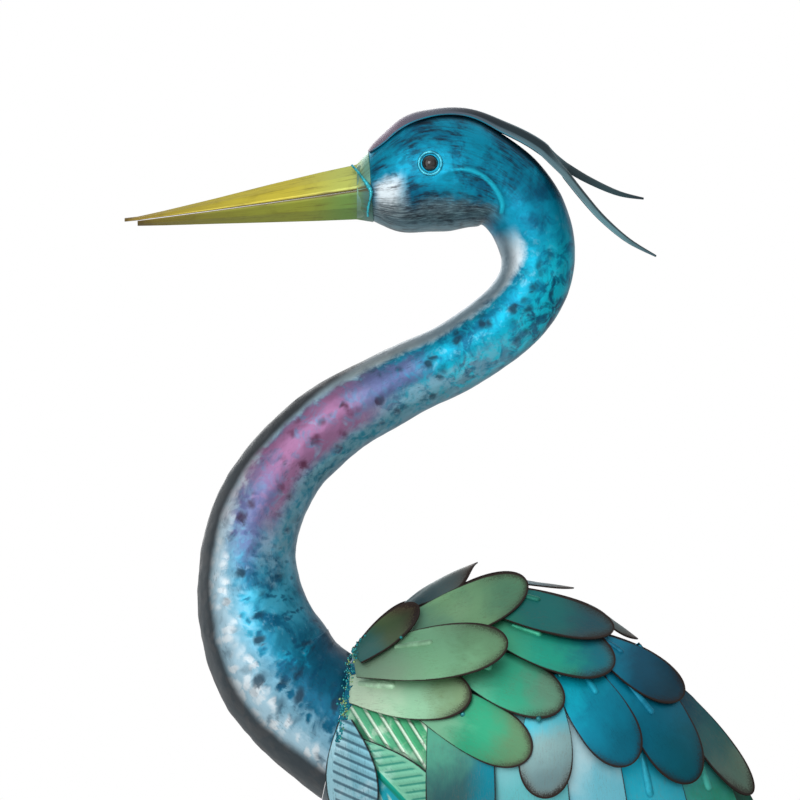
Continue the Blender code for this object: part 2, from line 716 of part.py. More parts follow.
def build_leg(name, hip, sign, parts, cutters):
    """A rod leg with its knee, ankle and four toes, welded into one."""
    floor = BASE_THICKNESS + JOINT_GAP
    knee = Vector((hip.x + KNEE_BACK, hip.y + sign * KNEE_OUT, KNEE_SHARE * hip.z))
    ankle = Vector((hip.x - ANKLE_FORWARD, hip.y + sign * ANKLE_OUT, floor + ANKLE_RISE))
    foot = Vector((ankle.x - FOOT_FORWARD, ankle.y, floor + TOE_RADIUS))
    top = hip + Vector((0.0, 0.0, SOCKET_DEPTH))
    drop = hip - Vector((0.0, 0.0, SOCKET_DEPTH))
    thigh = hip.lerp(knee, THIGH_SHARE)
    thigh.x = hip.x + THIGH_BACK
    above = knee.lerp(thigh, 0.16)
    below = knee.lerp(ankle, 0.10)
    points = [top, drop, thigh, above, knee, below, ankle, foot]
    radii = [HIP_RADIUS, HIP_RADIUS, THIGH_RADIUS, LEG_RADIUS, KNEE_RADIUS, LEG_RADIUS, LEG_RADIUS, LEG_RADIUS]
    leg = rod(name, points, radii, "bronze", parts)
    toes = (
        ("inner", math.pi - TOE_SPREAD, FRONT_TOE_LENGTH * SIDE_TOE_SHARE),
        ("middle", math.pi, FRONT_TOE_LENGTH),
        ("outer", math.pi + TOE_SPREAD, FRONT_TOE_LENGTH * SIDE_TOE_SHARE),
        ("back", 0.0, BACK_TOE_LENGTH),
    )
    for toe, angle, length in toes:
        run = Vector((math.cos(angle), sign * -math.sin(angle), 0.0))
        start = Vector((foot.x, foot.y, floor + TOE_RADIUS * 1.5)) - run * TOE_ROOT
        arch = foot + run * (TOE_ARCH_SHARE * length) + Vector((0.0, 0.0, TOE_RADIUS * 0.6))
        claw = foot + run * length
        claw.z = floor + TOE_RADIUS * 0.55
        bar = rod(
            name + "_toe_" + toe, [start, arch, claw], [TOE_RADIUS, TOE_RADIUS * 0.9, TOE_RADIUS * 0.5],
            "bronze", cutters)
        add_boolean(leg, as_cutter(bar), "UNION")
    return leg


def build_base(parts):
    """A low oval plate with a rounded upper edge."""
    bm = bmesh.new()
    place = Matrix.Translation((0.0, 0.0, BASE_THICKNESS / 2)) @ Matrix.Diagonal(
        (BASE_LENGTH / 2, BASE_WIDTH / 2, 1.0, 1.0))
    bmesh.ops.create_cone(
        bm, cap_ends=True, segments=BASE_SIDES, radius1=1.0, radius2=1.0, depth=BASE_THICKNESS, matrix=place)
    rim = [edge for edge in bm.edges if all(abs(v.co.z - BASE_THICKNESS) < 1e-6 for v in edge.verts)]
    bmesh.ops.bevel(bm, geom=rim, offset=BASE_EDGE_RADIUS, segments=2, profile=0.5, affect="EDGES", material=-1)
    return add_object("base", bm, "bronze", parts)


def build_plates(shell, body, parts):
    """Lay the plates of both sides from the lowest up, then those on the ridge."""
    laid = []
    for row in LEAVES + FLIGHT_FEATHERS + SHOULDER_FEATHERS:
        plate = Plate(row, shell)
        plate.settle(laid)
        laid.append(plate)
    below = [point for ring in tube_rings(body, 4 * BODY_SIDES) for point in ring]
    for plate in laid:
        for name, sign in (("_left", -1), ("_right", 1)):
            rows = []
            for share in PLATE_ROWS:
                rows.append([plate.surface(plate.spot(share, across), sign) for across in PLATE_COLUMNS])
            item = add_object(plate.name + name, sheet(rows), PLATE_COLOURS[plate.name.split("_")[0]], parts)
            add_solidify(item, PLATE_THICKNESS)
            below += [plate.surface(point, sign) for point in plate.samples()]
    for row in BACK_FEATHERS + (TAIL,):
        rows = ridge_plate_rows(row, below, shell)
        item = add_object(row[0], sheet(rows), "teal", parts)
        add_solidify(item, PLATE_THICKNESS)
        for near, far in zip(rows, rows[1:]):
            for share in (0.0, 0.5):
                below += [first.lerp(second, share) for first, second in zip(near, far)]


def main():
    """Build the statue."""
    clear_scene()
    parts = make_collection("crane_garden_statue")
    cutters = make_collection("cutters")
    neck = Tube(HEAD_NECK_STATIONS, NECK_STEPS, Vector((1.0, 0.0, 0.0)), SEAM_DIRECTION)
    body = Tube(BODY_FRONT + BODY_END, BODY_STEPS, SEAM_DIRECTION)
    shell = Tube(BODY_FRONT + SHELL_END, BODY_STEPS, SEAM_DIRECTION)
    hips = {}
    for name, sign in (("left", -1), ("right", 1)):
        y = sign * LEG_SPACING / 2
        hips[name] = Vector((0.0, y, underside(body, 0.0, y)))
    build_head_neck(neck, parts, cutters)
    build_body(body, hips, parts, cutters)
    build_beak(parts)
    build_crest(neck, parts)
    build_plates(shell, body, parts)
    build_leg("leg_left", hips["left"], -1, parts, cutters)
    build_leg("leg_right", hips["right"], 1, parts, cutters)
    build_base(parts)


if __name__ == "__main__":
    main()
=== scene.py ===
"""Crane garden statue: the painted finish and the fine sheet-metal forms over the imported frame.

The statue is drawn from its left side on a grid of columns and rows, whose division is a share of
its height, as the solids are. Every fine piece replaces the solid of the same name.
"""
import logging
import math
import random
from dataclasses import dataclass
from enum import Enum
from typing import Any, Callable, Iterable, Sequence

import bmesh
import bpy
import numpy as np
from mathutils import Matrix, Vector, noise


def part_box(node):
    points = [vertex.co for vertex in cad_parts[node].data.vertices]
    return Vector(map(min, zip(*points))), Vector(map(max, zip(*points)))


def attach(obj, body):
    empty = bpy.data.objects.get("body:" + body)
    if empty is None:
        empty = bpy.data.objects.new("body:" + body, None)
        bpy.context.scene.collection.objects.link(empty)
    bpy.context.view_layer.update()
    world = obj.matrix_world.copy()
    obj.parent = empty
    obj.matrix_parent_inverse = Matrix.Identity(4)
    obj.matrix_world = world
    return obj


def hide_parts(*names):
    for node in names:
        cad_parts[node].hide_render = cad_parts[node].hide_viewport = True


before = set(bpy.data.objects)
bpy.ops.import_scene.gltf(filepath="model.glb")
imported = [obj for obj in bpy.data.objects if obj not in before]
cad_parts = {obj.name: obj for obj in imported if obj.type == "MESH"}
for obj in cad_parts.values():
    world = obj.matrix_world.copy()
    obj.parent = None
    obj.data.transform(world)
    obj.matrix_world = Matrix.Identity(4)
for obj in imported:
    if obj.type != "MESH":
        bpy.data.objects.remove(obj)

LOG = logging.getLogger("crane")
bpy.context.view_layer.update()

RGB = tuple[float, float, float]
HEIGHT = 1.0
GRID_ROWS = 1333
CROWN_ROW = 108
MIDDLE_COLUMN = 520
GRID = HEIGHT / GRID_ROWS
PHOTO_CENTRE = (400, 400)
PHOTO_WIDTH = 800
CLOSE = 1e-6


class Side(Enum):
    """The two flanks of the bird."""

    LEFT = -1
    RIGHT = 1

    @property
    def word(self) -> str:
        """The ending of a piece's name on this flank."""
        return "_left" if self is Side.LEFT else "_right"


def at(column: float, row: float, side: float = 0.0) -> Vector:
    """Place a point of the drawing grid.

    Args:
        column: Columns run from the beak's side to the tail.
        row: Rows run down from the crown.
        side: Grid divisions to the right of the middle plane.

    Returns:
        The point in metres.
    """
    return Vector(((column - MIDDLE_COLUMN) * GRID, side * GRID, HEIGHT - (row - CROWN_ROW) * GRID))


def ease(value: float, low: float, high: float) -> float:
    """Return 0 below low, 1 above high and a smooth step between them (low may be over high)."""
    share = min(max((value - low) / (high - low), 0.0), 1.0)
    return share * share * (3.0 - 2.0 * share)


def tint(red: int, green: int, blue: int) -> RGB:
    """Return a linear colour from screen values of 0 to 255."""
    return tuple((value / 255.0) ** 2.2 for value in (red, green, blue))


def smooth_rows(rows: Sequence[Sequence[float]], steps: int) -> list[tuple[float, ...]]:
    """Draw a smooth curve through rows of numbers.

    Args:
        rows: The rows the curve passes through.
        steps: How many rows to return for each stretch between two rows.

    Returns:
        The rows on the curve.
    """
    result: list[tuple[float, ...]] = []
    last = len(rows) - 1
    for index in range(last):
        before, start, end = rows[max(index - 1, 0)], rows[index], rows[index + 1]
        after = rows[min(index + 2, last)]
        for step in range(steps):
            t = step / steps
            values = []
            for a, b, c, d in zip(before, start, end, after):
                square, cube = 2 * a - 5 * b + 4 * c - d, 3 * b - 3 * c + d - a
                values.append(0.5 * (2 * b + (c - a) * t + square * t ** 2 + cube * t ** 3))
            result.append(tuple(values))
    result.append(tuple(rows[last]))
    return result


class Wire:
    """A shader socket that takes part in Python arithmetic by adding Math nodes."""

    def __init__(self, graph: "Graph", socket: bpy.types.NodeSocket) -> None:
        """Wrap a socket of a node graph."""
        self.graph = graph
        self.socket = socket

    def _math(self, operation: str, *values: "Wire | float") -> "Wire":
        """Add a Math node on the given values."""
        return self.graph.node("ShaderNodeMath", dict(enumerate(values)), operation=operation)

    def __add__(self, other: "Wire | float") -> "Wire":
        """Add."""
        return self._math("ADD", self, other)

    __radd__ = __add__

    def __sub__(self, other: "Wire | float") -> "Wire":
        """Subtract."""
        return self._math("SUBTRACT", self, other)

    def __rsub__(self, other: "Wire | float") -> "Wire":
        """Subtract from a number."""
        return self._math("SUBTRACT", other, self)

    def __mul__(self, other: "Wire | float") -> "Wire":
        """Multiply."""
        return self._math("MULTIPLY", self, other)

    __rmul__ = __mul__

    def __truediv__(self, other: "Wire | float") -> "Wire":
        """Divide."""
        return self._math("DIVIDE", self, other)

    def __rtruediv__(self, other: "Wire | float") -> "Wire":
        """Divide a number."""
        return self._math("DIVIDE", other, self)

    def __pow__(self, other: "Wire | float") -> "Wire":
        """Raise to a power."""
        return self._math("POWER", self, other)

    def __neg__(self) -> "Wire":
        """Change the sign."""
        return self._math("MULTIPLY", self, -1.0)

    def __abs__(self) -> "Wire":
        """Drop the sign."""
        return self._math("ABSOLUTE", self)

    def most(self, other: "Wire | float") -> "Wire":
        """Return the larger of two values."""
        return self._math("MAXIMUM", self, other)

    def step(self, low: float, high: float, to: tuple[float, float] = (0.0, 1.0)) -> "Wire":
        """Map a range smoothly to another.

        Args:
            low: The value that maps to the first end of the new range.
            high: The value that maps to the second end.
            to: The new range.

        Returns:
            The mapped value, held at both ends.
        """
        ends = (high, low, *reversed(to)) if low > high else (low, high, *to)
        values = dict(enumerate((self, *ends)))
        return self.graph.node("ShaderNodeMapRange", values, interpolation_type="SMOOTHSTEP")


class Graph:
    """A tree of shader nodes, added one by one."""

    def __init__(self, tree: bpy.types.NodeTree) -> None:
        """Take up a node tree."""
        self.tree = tree

    def node(self, kind: str, values: dict[Any, Any] | None = None, output: int | str = 0,
             **settings: Any) -> Wire:
        """Add any node.

        Args:
            kind: The node's type.
            values: Values or links by socket name or number.
            output: The output to return.
            **settings: The node's own properties, set before its values.

        Returns:
            The chosen output.
        """
        made = self.tree.nodes.new(kind)
        for key, value in settings.items():
            setattr(made, key, value)
        for key, value in (values or {}).items():
            self.feed(made.inputs[key], value)
        return Wire(self, made.outputs[output])

    def feed(self, socket: bpy.types.NodeSocket, value: Any) -> None:
        """Link a wire to a socket, or set a plain value on it."""
        if isinstance(value, Wire):
            self.tree.links.new(value.socket, socket)
        elif isinstance(value, tuple) and len(value) == 3 and socket.type == "RGBA":
            socket.default_value = (*value, 1.0)
        else:
            socket.default_value = value


class Shader(Graph):
    """One procedural material, built node by node onto a Principled shader."""

    GLOSS = 0.25

    def __init__(self, name: str) -> None:
        """Start a material with its Principled shader."""
        self.material = bpy.data.materials.new(name)
        self.material.use_nodes = True
        super().__init__(self.material.node_tree)
        self.surface = self.tree.nodes["Principled BSDF"]

    def attributes(self, *names: str) -> list[Wire]:
        """Read the piece's own attributes."""
        return [self.node("ShaderNodeAttribute", output="Fac", attribute_name=name) for name in names]

    def place(self) -> Wire:
        """Return the Object coordinates."""
        return self.node("ShaderNodeTexCoord", output="Object")

    def vector(self, x: Any, y: Any, z: Any) -> Wire:
        """Join three values to a vector."""
        return self.node("ShaderNodeCombineXYZ", {0: x, 1: y, 2: z})

    def noise(self, where: Wire, scale: float, detail: float = 3.0, rough: float = 0.55,
              warp: float = 0.0) -> Wire:
        """Return a cloudy noise between 0 and 1.

        Args:
            where: The coordinates.
            scale: Clouds to a metre.
            detail: Octaves.
            rough: How strong the finer octaves are.
            warp: How far the clouds are swirled.

        Returns:
            The noise value.
        """
        values = {"Vector": where, "Scale": scale, "Detail": detail, "Roughness": rough, "Distortion": warp}
        return self.node("ShaderNodeTexNoise", values)

    def brushed(self, place: tuple[Wire, Wire, Any], lengthways: float, crossways: float,
                detail: float = 3.0, rough: float = 0.6) -> Wire:
        """Return a noise drawn out along a sheet.

        Args:
            place: The place along and across the sheet, and the pattern's seed.
            lengthways: Strokes to a metre along the sheet.
            crossways: Strokes to a metre across it.
            detail: Octaves.
            rough: How strong the finer octaves are.

        Returns:
            The noise value.
        """
        where = self.vector(place[0] * lengthways, place[1] * crossways, place[2])
        return self.noise(where, 1.0, detail, rough)

    def cells(self, where: Wire, scale: float) -> Wire:
        """Return the distance to the nearest of scattered points."""
        return self.node("ShaderNodeTexVoronoi", {"Vector": where, "Scale": scale})

    def mix(self, share: Any, first: Any, second: Any, blend: str = "MIX") -> Wire:
        """Blend two colours."""
        made = self.tree.nodes.new("ShaderNodeMix")
        made.data_type = "RGBA"
        made.blend_type = blend
        made.clamp_factor = True
        for index, value in ((0, share), (6, first), (7, second)):
            self.feed(made.inputs[index], value)
        return Wire(self, made.outputs[2])

    def coats(self, paint: Any, *coats: tuple[Any, Any]) -> Wire:
        """Lay coats over a colour, each given as its share and its colour."""
        for share, colour in coats:
            paint = self.mix(share, paint, colour)
        return paint

    def ramp(self, share: Wire, stops: Sequence[tuple[float, RGB]]) -> Wire:
        """Run through colours along a value.

        Args:
            share: The value that is followed.
            stops: Places between 0 and 1 and their colours.

        Returns:
            The colour.
        """
        made = self.tree.nodes.new("ShaderNodeValToRGB")
        band = made.color_ramp
        band.interpolation = "EASE"
        for index, (spot, colour) in enumerate(stops):
            element = band.elements[index] if index < 2 else band.elements.new(spot)
            element.position = spot
            element.color = (*colour, 1.0)
        self.feed(made.inputs[0], share)
        return Wire(self, made.outputs[0])

    def dress(self, colour: Any, rough: Any, metal: Any, bumps: Sequence[tuple[Wire, float, float]] = (),
              coat: float = 0.0, coat_rough: float = 0.15) -> bpy.types.Material:
        """Wire the finished values to the Principled shader.

        Args:
            colour: The base colour.
            rough: The roughness.
            metal: The metallic value.
            bumps: Heights with their strength and depth in metres, coarse ones first.
            coat: The weight of the clear lacquer.
            coat_rough: The roughness of the lacquer.

        Returns:
            The material.
        """
        inputs = self.surface.inputs
        self.feed(inputs["Base Color"], colour)
        self.feed(inputs["Roughness"], rough)
        self.feed(inputs["Metallic"], metal)
        self.feed(inputs["Coat Weight"], coat)
        self.feed(inputs["Coat Roughness"], coat_rough)
        self.feed(inputs["Specular IOR Level"], self.GLOSS)
        normal: dict[str, Wire] = {}
        for height, strength, depth in bumps:
            values = {"Height": height, "Strength": strength, "Distance": depth, **normal}
            normal = {"Normal": self.node("ShaderNodeBump", values)}
        for name, value in normal.items():
            self.feed(inputs[name], value)
        return self.material


@dataclass(frozen=True)
class PlatePaint:
    """The lacquer of a feather plate: brushed metal, tinted from root to tip, with a burnt rim."""

    name: str
    root: RGB
    middle: RGB
    tip: RGB
    rim: RGB = (0.022, 0.013, 0.010)
    smudge: RGB = (0.16, 0.12, 0.09)
    rim_width: float = 0.0011
    smoke: float = 0.55
    metal: float = 0.60
    rough: float = 0.46
    side: RGB | None = None
    gleam: RGB = (0.66, 0.78, 0.70)

    def make(self) -> bpy.types.Material:
        """Build the material.

        Returns:
            A material that reads the attributes share, along, across, rim and seed.
        """
        shader = Shader(self.name)
        share, along, across, rim, seed = shader.attributes("share", "along", "across", "rim", "seed")
        flat = shader.vector(along, across, seed)
        brush = shader.brushed((along, across, seed), 240.0, 1500.0)
        long_brush = shader.brushed((along, across, seed), 60.0, 700.0)
        clouds = shader.noise(flat, 38.0, 4.0, 0.6, 0.4)
        speck = shader.noise(flat, 900.0, 2.0, 0.75)
        drift = share + (clouds - 0.5) * 0.5 + across * 4.0
        paint = shader.ramp(drift, ((0.10, self.root), (0.50, self.middle), (0.88, self.tip)))
        if self.side is not None:
            beside = (across + (clouds - 0.5) * 0.02).step(0.000, 0.022) * share.step(0.15, 0.4)
            paint = shader.mix(beside, paint, self.side)
        paint = shader.mix(long_brush.step(0.50, 0.75) * 0.16, paint, self.gleam, "SOFT_LIGHT")
        worn = (brush * 0.6 + speck * 0.4).step(0.52, 0.36) * (clouds.step(0.42, 0.60) * 0.5 + 0.12)
        paint = shader.mix(worn * 0.42, paint, self.smudge)
        near = (rim + (clouds - 0.5) * 0.008).step(0.0105, 0.0)
        end = share.step(0.42, 0.96)
        burn = near * end * self.smoke
        dust = (speck * 0.75 + brush * 0.25 + near * end * 0.34).step(0.60, 0.80)
        width = share.step(0.25, 0.9, (self.rim_width * 0.35, self.rim_width * 1.25))
        burnt = (rim + (speck - 0.5) * 0.0008 + (clouds - 0.5) * 0.0012 - width).step(0.0005, -0.0004)
        paint = shader.coats(
            paint, (burn * 0.6, self.smudge), (dust * burn * 1.4, self.rim), (burnt, self.rim))
        rough = self.rough + brush * 0.10 + burnt * 0.2 - clouds * 0.04
        metal = self.metal - burnt * 0.35
        return shader.dress(paint, rough, metal, ((brush, 0.12, 0.0003), (speck, 0.08, 0.0002)), 0.04, 0.25)


@dataclass(frozen=True)
class LeafPaint:
    """The pale lacquer of a breast leaf: raised barbs painted pale as a painted highlight, pressed strokes
    painted dark, partly their paint and partly painted shade, and a tone for each vane.
    """

    name: str
    upper: RGB
    lower: RGB
    # ridge: painted highlight on the raised barbs, also pale cloudy patches; groove: dark of the pressed
    # strokes, partly painted shade, also dark grain streaks
    ridge: RGB
    groove: RGB
    midrib: RGB
    rim: RGB = (0.014, 0.017, 0.018)

    def make(self) -> bpy.types.Material:
        """Build the material.

        Returns:
            A material that reads the attributes barb, midrib, along, across, rim and seed.
        """
        shader = Shader(self.name)
        barb, midrib, along, across, rim, seed = shader.attributes(
            "barb", "midrib", "along", "across", "rim", "seed")
        place = shader.vector(along, across, seed)
        clouds = shader.noise(place, 55.0, 4.0, 0.6, 0.5)
        grain = shader.brushed((along, across, seed), 240.0, 1400.0)
        speck = shader.noise(place, 900.0, 2.0, 0.7)
        burnt = (rim + (clouds - 0.5) * 0.0016 + (speck - 0.5) * 0.0006).step(0.0013, 0.0004)
        paint = shader.coats(
            self.lower,
            ((across + (clouds - 0.5) * 0.008).step(-0.0012, 0.0012), self.upper),
            (clouds.step(0.50, 0.70) * 0.45, self.ridge),
            # Raised barbs take the ridge colour as a painted highlight; pressed ones take the groove colour,
            # partly as painted shade
            ((barb + (speck - 0.5) * 0.3).step(0.25, 0.85) * 0.75, self.ridge),
            ((-barb + (speck - 0.5) * 0.4).step(0.30, 0.90) * 0.8, self.groove),
            (midrib.step(0.25, 0.6), self.midrib),
            (grain.step(0.46, 0.28) * 0.45, self.groove),
            (burnt, self.rim))
        rough = 0.34 + grain * 0.12 + burnt * 0.2
        bumps = ((grain, 0.12, 0.0003), (clouds, 0.1, 0.0008))
        return shader.dress(paint, rough, 0.5 - burnt * 0.3, bumps, 0.06, 0.2)


@dataclass(frozen=True)
class NeckPaint:
    """The tinted lacquer of head and neck: blue over silver, with a violet bend and dark hammer spots, and
    painted highlights, reflections and shade on its flanks and edges.
    """

    name: str = "neck_lacquer"
    deep: RGB = tint(0, 92, 124)
    cyan: RGB = tint(0, 146, 180)
    # glow: the cyan of a painted highlight on the back of the upper neck
    glow_sheen: RGB = tint(20, 200, 226)
    sky: RGB = tint(66, 164, 194)
    # silver: the lacquer's silver, also used as the painted highlight on the neck's front flank and the head's
    # front
    silver: RGB = tint(224, 236, 242)
    violet: RGB = tint(140, 96, 132)
    indigo: RGB = tint(88, 96, 138)
    pale: RGB = tint(136, 186, 208)
    soot: RGB = tint(30, 32, 42)
    # charcoal: a painted reflection of dark surroundings on the lower neck's front edge
    charcoal_reflection: RGB = tint(40, 44, 48)

    def make(self) -> bpy.types.Material:
        """Build the material.

        Returns:
            A material that reads the attributes along, front, around and cheek.
        """
        shader = Shader(self.name)
        along, front, around, cheek = shader.attributes("along", "front", "around", "cheek")
        place = shader.place()
        fine = shader.brushed((along, around, 3.0), 90.0, 900.0, 4.0, 0.65)
        brush = shader.brushed((along, around, 7.0), 240.0, 1200.0)
        soft = shader.brushed((along, around, 11.0), 60.0, 420.0, 5.0, 0.72)
        clouds = shader.noise(place, 30.0, 4.0, 0.62, 0.5)
        blots = shader.noise(place, 85.0, 4.0, 0.65, 0.7)
        flecks = shader.noise(place, 150.0, 3.0, 0.6, 0.3)
        swirl = shader.vector(along + (blots - 0.5) * 0.012, around + (clouds - 0.5) * 0.016, 0.0)
        spots = shader.cells(swirl, 78.0)
        pits = shader.cells(swirl, 150.0)

        def stretch(start: float, full: float, fading: float, end: float) -> Wire:
            """Return 1 between two places along the skin, fading out at both ends."""
            return along.step(start, full) * along.step(end, fading)

        head = along.step(0.140, 0.105)
        lower = along.step(0.42, 0.56)
        wander = front + (clouds - 0.5) * 0.40 + (blots - 0.5) * 0.35 + (pits - 0.45) * lower * 0.22
        cloudy_front = front + (clouds - 0.5) * 0.2
        sharp_front = front + (clouds - 0.5) * 0.10

        pale = flecks.step(0.52, 0.68) * blots.step(0.58, 0.44) * along.step(0.13, 0.20)
        # bright: light cyan laid on the back of the upper neck where the lamps leave it dim, a painted
        # highlight
        bright = stretch(0.14, 0.19, 0.28, 0.36) * (wander.step(-0.1, 0.4) * 0.7 + 0.3)
        paint = shader.coats(
            self.cyan,
            (clouds.step(0.38, 0.64), self.deep),
            (blots.step(0.54, 0.72) * 0.5, self.deep),
            (pale * 0.45, self.pale),
            (bright * blots.step(0.60, 0.42), self.glow_sheen),
            (stretch(0.42, 0.49, 0.55, 0.60) * clouds.step(0.66, 0.40), self.sky),
            (along.step(0.54, 0.61) * clouds.step(0.28, 0.46) * 0.9, tint(0, 80, 106)))

        bend = stretch(0.315, 0.370, 0.445, 0.515)
        # misty: pale blotches along the back of the middle neck, a painted sheen
        misty_sheen = stretch(0.20, 0.30, 0.48, 0.54) * (flecks.step(0.36, 0.60) * 0.7 + 0.2)
        violet = bend * wander.step(-0.84, -0.54) * wander.step(0.72, 0.36)
        indigo = stretch(0.42, 0.465, 0.485, 0.53) + stretch(0.285, 0.315, 0.335, 0.375)
        indigo = indigo * wander.step(-0.65, -0.45) * wander.step(0.35, 0.05)
        # The silver band below is partly silver lacquer and partly a painted highlight on the front flank; its
        # pale scalloped fringe in the lower neck is painted highlight too
        sheen_edge = along.step(0.41, 0.47, (-0.66, -0.46)) + along.step(0.49, 0.54, (0.0, 0.20))
        sheen_edge = sheen_edge + along.step(0.165, 0.22, (0.30, 0.0))
        silver = (sheen_edge - wander).step(-0.06, 0.16) * along.step(0.140, 0.172)
        silver = silver * (1.0 - bend * 0.4) * (fine * 0.25 + 0.82)
        haze_sheen = (wander - sheen_edge).step(0.42, 0.05) * lower * pits.step(0.30, 0.62)
        # Grey-blue along the front edge of the upper neck and of the bend: painted reflection
        cool_edge_reflection = cloudy_front.step(-0.58, -0.86) * stretch(0.13, 0.17, 0.28, 0.36)
        grey_edge_reflection = cloudy_front.step(-0.62, -0.86) * stretch(0.27, 0.32, 0.40, 0.46)
        paint = shader.coats(
            paint,
            (misty_sheen * wander.step(0.05, 0.40), self.pale),
            (violet * (blots.step(0.34, 0.54) * 0.45 + 0.52), self.violet),
            (indigo * (flecks.step(0.34, 0.56) * 0.5 + 0.4), self.indigo),
            (silver * 0.95, self.silver),
            (haze_sheen * 0.7, self.pale),
            (cool_edge_reflection * 0.85, tint(74, 102, 116)),
            (grey_edge_reflection * 0.75, tint(104, 114, 120)))

        # brow: silver on the lower front of the head, a painted highlight
        brow = stretch(0.010, 0.019, 0.026, 0.041) * wander.step(-0.95, -0.60) * wander.step(0.18, -0.12)
        chin = head * wander.step(-0.38, -0.66)
        jaw = head * wander.step(-0.30, -0.56) * wander.step(-1.0, -0.76) * fine.step(0.66, 0.42)
        streaks = soft.step(0.55, 0.39) * (clouds.step(0.40, 0.58) * 0.65 + 0.30) * head
        scuffs = brush.step(0.46, 0.30) * (clouds.step(0.44, 0.62) * 0.35 + 0.08)
        paint = shader.coats(
            paint,
            (brow * 0.95, self.silver),
            (chin * 0.8, tint(124, 142, 146)),
            (jaw * 0.8, tint(54, 72, 82)),
            (streaks * 0.85, self.soot),
            # Bright cyan on the cheek's ridge: its lacquer, partly a painted highlight
            (cheek.step(0.30, 0.80) * 0.9, tint(30, 178, 206)),
            (scuffs, self.soot))

        zone = along.step(0.145, 0.20) * wander.step(-0.72, -0.45) * wander.step(0.92, 0.70)
        dots = (spots + (blots - 0.5) * 0.30).step(0.42, 0.14) * zone
        dots = dots * (clouds.step(0.36, 0.52) * 0.7 + 0.3)
        wells = pits.step(0.38, 0.14) * lower * wander.step(-0.48, -0.22)
        # Charcoal along the front edge of the lower neck: a painted dark reflection
        dark_reflection_edge = along.step(0.30, 0.42, (-1.06, -0.74)) + along.step(0.585, 0.65, (0.0, 0.10))
        rim = (sharp_front - dark_reflection_edge).step(0.12, -0.05)
        # under: a painted shadow of the crest's edge on the head
        under = front + (clouds - 0.5) * 0.06 - along.step(0.03, 0.09, (0.74, 0.86))
        under = under.step(0.0, 0.07) * stretch(0.035, 0.055, 0.12, 0.145)
        paint = shader.coats(
            paint,
            (dots * 0.82, shader.mix(bend, tint(16, 48, 68), tint(76, 30, 56))),
            (wells * 0.75, tint(0, 74, 104)),
            (rim * 0.95, self.charcoal_reflection),
            # Dark blue along the back edge of the head and neck: painted shade where the skin turns away
            (sharp_front.step(0.80, 0.97) * along.step(0.10, 0.14) * 0.55, tint(10, 44, 66)),
            (under * 0.8, tint(8, 30, 40)),
            (along.step(0.013, 0.006) * 0.8, tint(120, 150, 120)))

        rough = 0.37 + brush * 0.10 + dots * 0.15 + rim * 0.12
        bumps = ((spots.step(0.0, 0.42), 0.30, 0.0010), (pits, 0.20, 0.0010), (blots, 0.12, 0.0010),
                 (brush, 0.10, 0.0002))
        return shader.dress(paint, rough, 0.68 - dots * 0.2 - rim * 0.3, bumps, 0.05, 0.22)


@dataclass(frozen=True)
class BeakPaint:
    """Golden lacquer brushed over with brown, greener toward the face."""

    name: str
    tip: RGB
    middle: RGB
    base: RGB
    flare: RGB
    brown: RGB = (0.085, 0.050, 0.012)

    def make(self) -> bpy.types.Material:
        """Build the material.

        Returns:
            A material that reads the attributes share, along, across and rim.
        """
        shader = Shader(self.name)
        share, along, across, rim = shader.attributes("share", "along", "across", "rim")
        grain = shader.brushed((along, across, 1.0), 30.0, 700.0, 5.0, 0.7)
        clouds = shader.noise(shader.vector(along, across, 0.0), 60.0, 4.0, 0.6, 0.3)
        stops = ((0.03, self.flare), (0.16, self.base), (0.38, self.middle), (0.95, self.tip))
        edge = (rim + (grain - 0.5) * 0.004).step(0.0026, 0.0004)
        end = (share + (clouds - 0.5) * 0.2).step(0.86, 1.0)
        browned = (grain.step(0.50, 0.30) * 0.55, clouds.step(0.50, 0.70) * 0.25, edge * 0.8, end * 0.75)
        paint = shader.coats(shader.ramp(share, stops), *((part, self.brown) for part in browned))
        return shader.dress(paint, 0.36 + grain * 0.15, 0.45, ((grain, 0.2, 0.0004),), 0.2, 0.25)


@dataclass(frozen=True)
class CrestPaint:
    """Mauve at the brow, running to grey and teal along the plumes, with painted shade along the saddle's fold
    and in the plumes' gutters.
    """

    name: str = "crest_lacquer"

    def make(self) -> bpy.types.Material:
        """Build the material.

        Returns:
            A material that reads the attributes share, across, along and rim.
        """
        shader = Shader(self.name)
        share, along, across, rim = shader.attributes("share", "along", "across", "rim")
        grain = shader.brushed((along, across, 5.0), 45.0, 650.0, 4.0, 0.65)
        stops = ((0.0, tint(104, 84, 100)), (0.14, tint(118, 104, 122)), (0.26, tint(92, 98, 112)),
                 (0.44, tint(92, 120, 130)), (0.62, tint(112, 144, 152)), (0.82, tint(116, 162, 172)),
                 (1.0, tint(84, 108, 118)))
        edge = (rim + (grain - 0.5) * 0.0008).step(0.0014, 0.0005)
        wide = abs(across) + (grain - 0.5) * 0.001
        # fold and gutter: dark painted shade along the saddle's fold and in the plumes' gutters
        fold = share.step(0.24, 0.34) * share.step(0.56, 0.46)
        fold = fold * wide.step(0.0168, 0.0148) * wide.step(0.0045, 0.0065)
        gutter = share.step(0.46, 0.58) * wide.step(0.0165, 0.0145)
        paint = shader.coats(
            shader.ramp(share + (grain - 0.5) * 0.08, stops),
            (grain.step(0.5, 0.28) * 0.45, (0.03, 0.03, 0.04)),
            (edge * share.step(0.50, 0.30) * grain.step(0.36, 0.56), tint(30, 132, 158)),
            (fold.most(gutter) * 0.8, tint(22, 28, 34)))
        return shader.dress(paint, 0.42 + grain * 0.14, 0.6, ((grain, 0.18, 0.0004),), 0.05, 0.2)


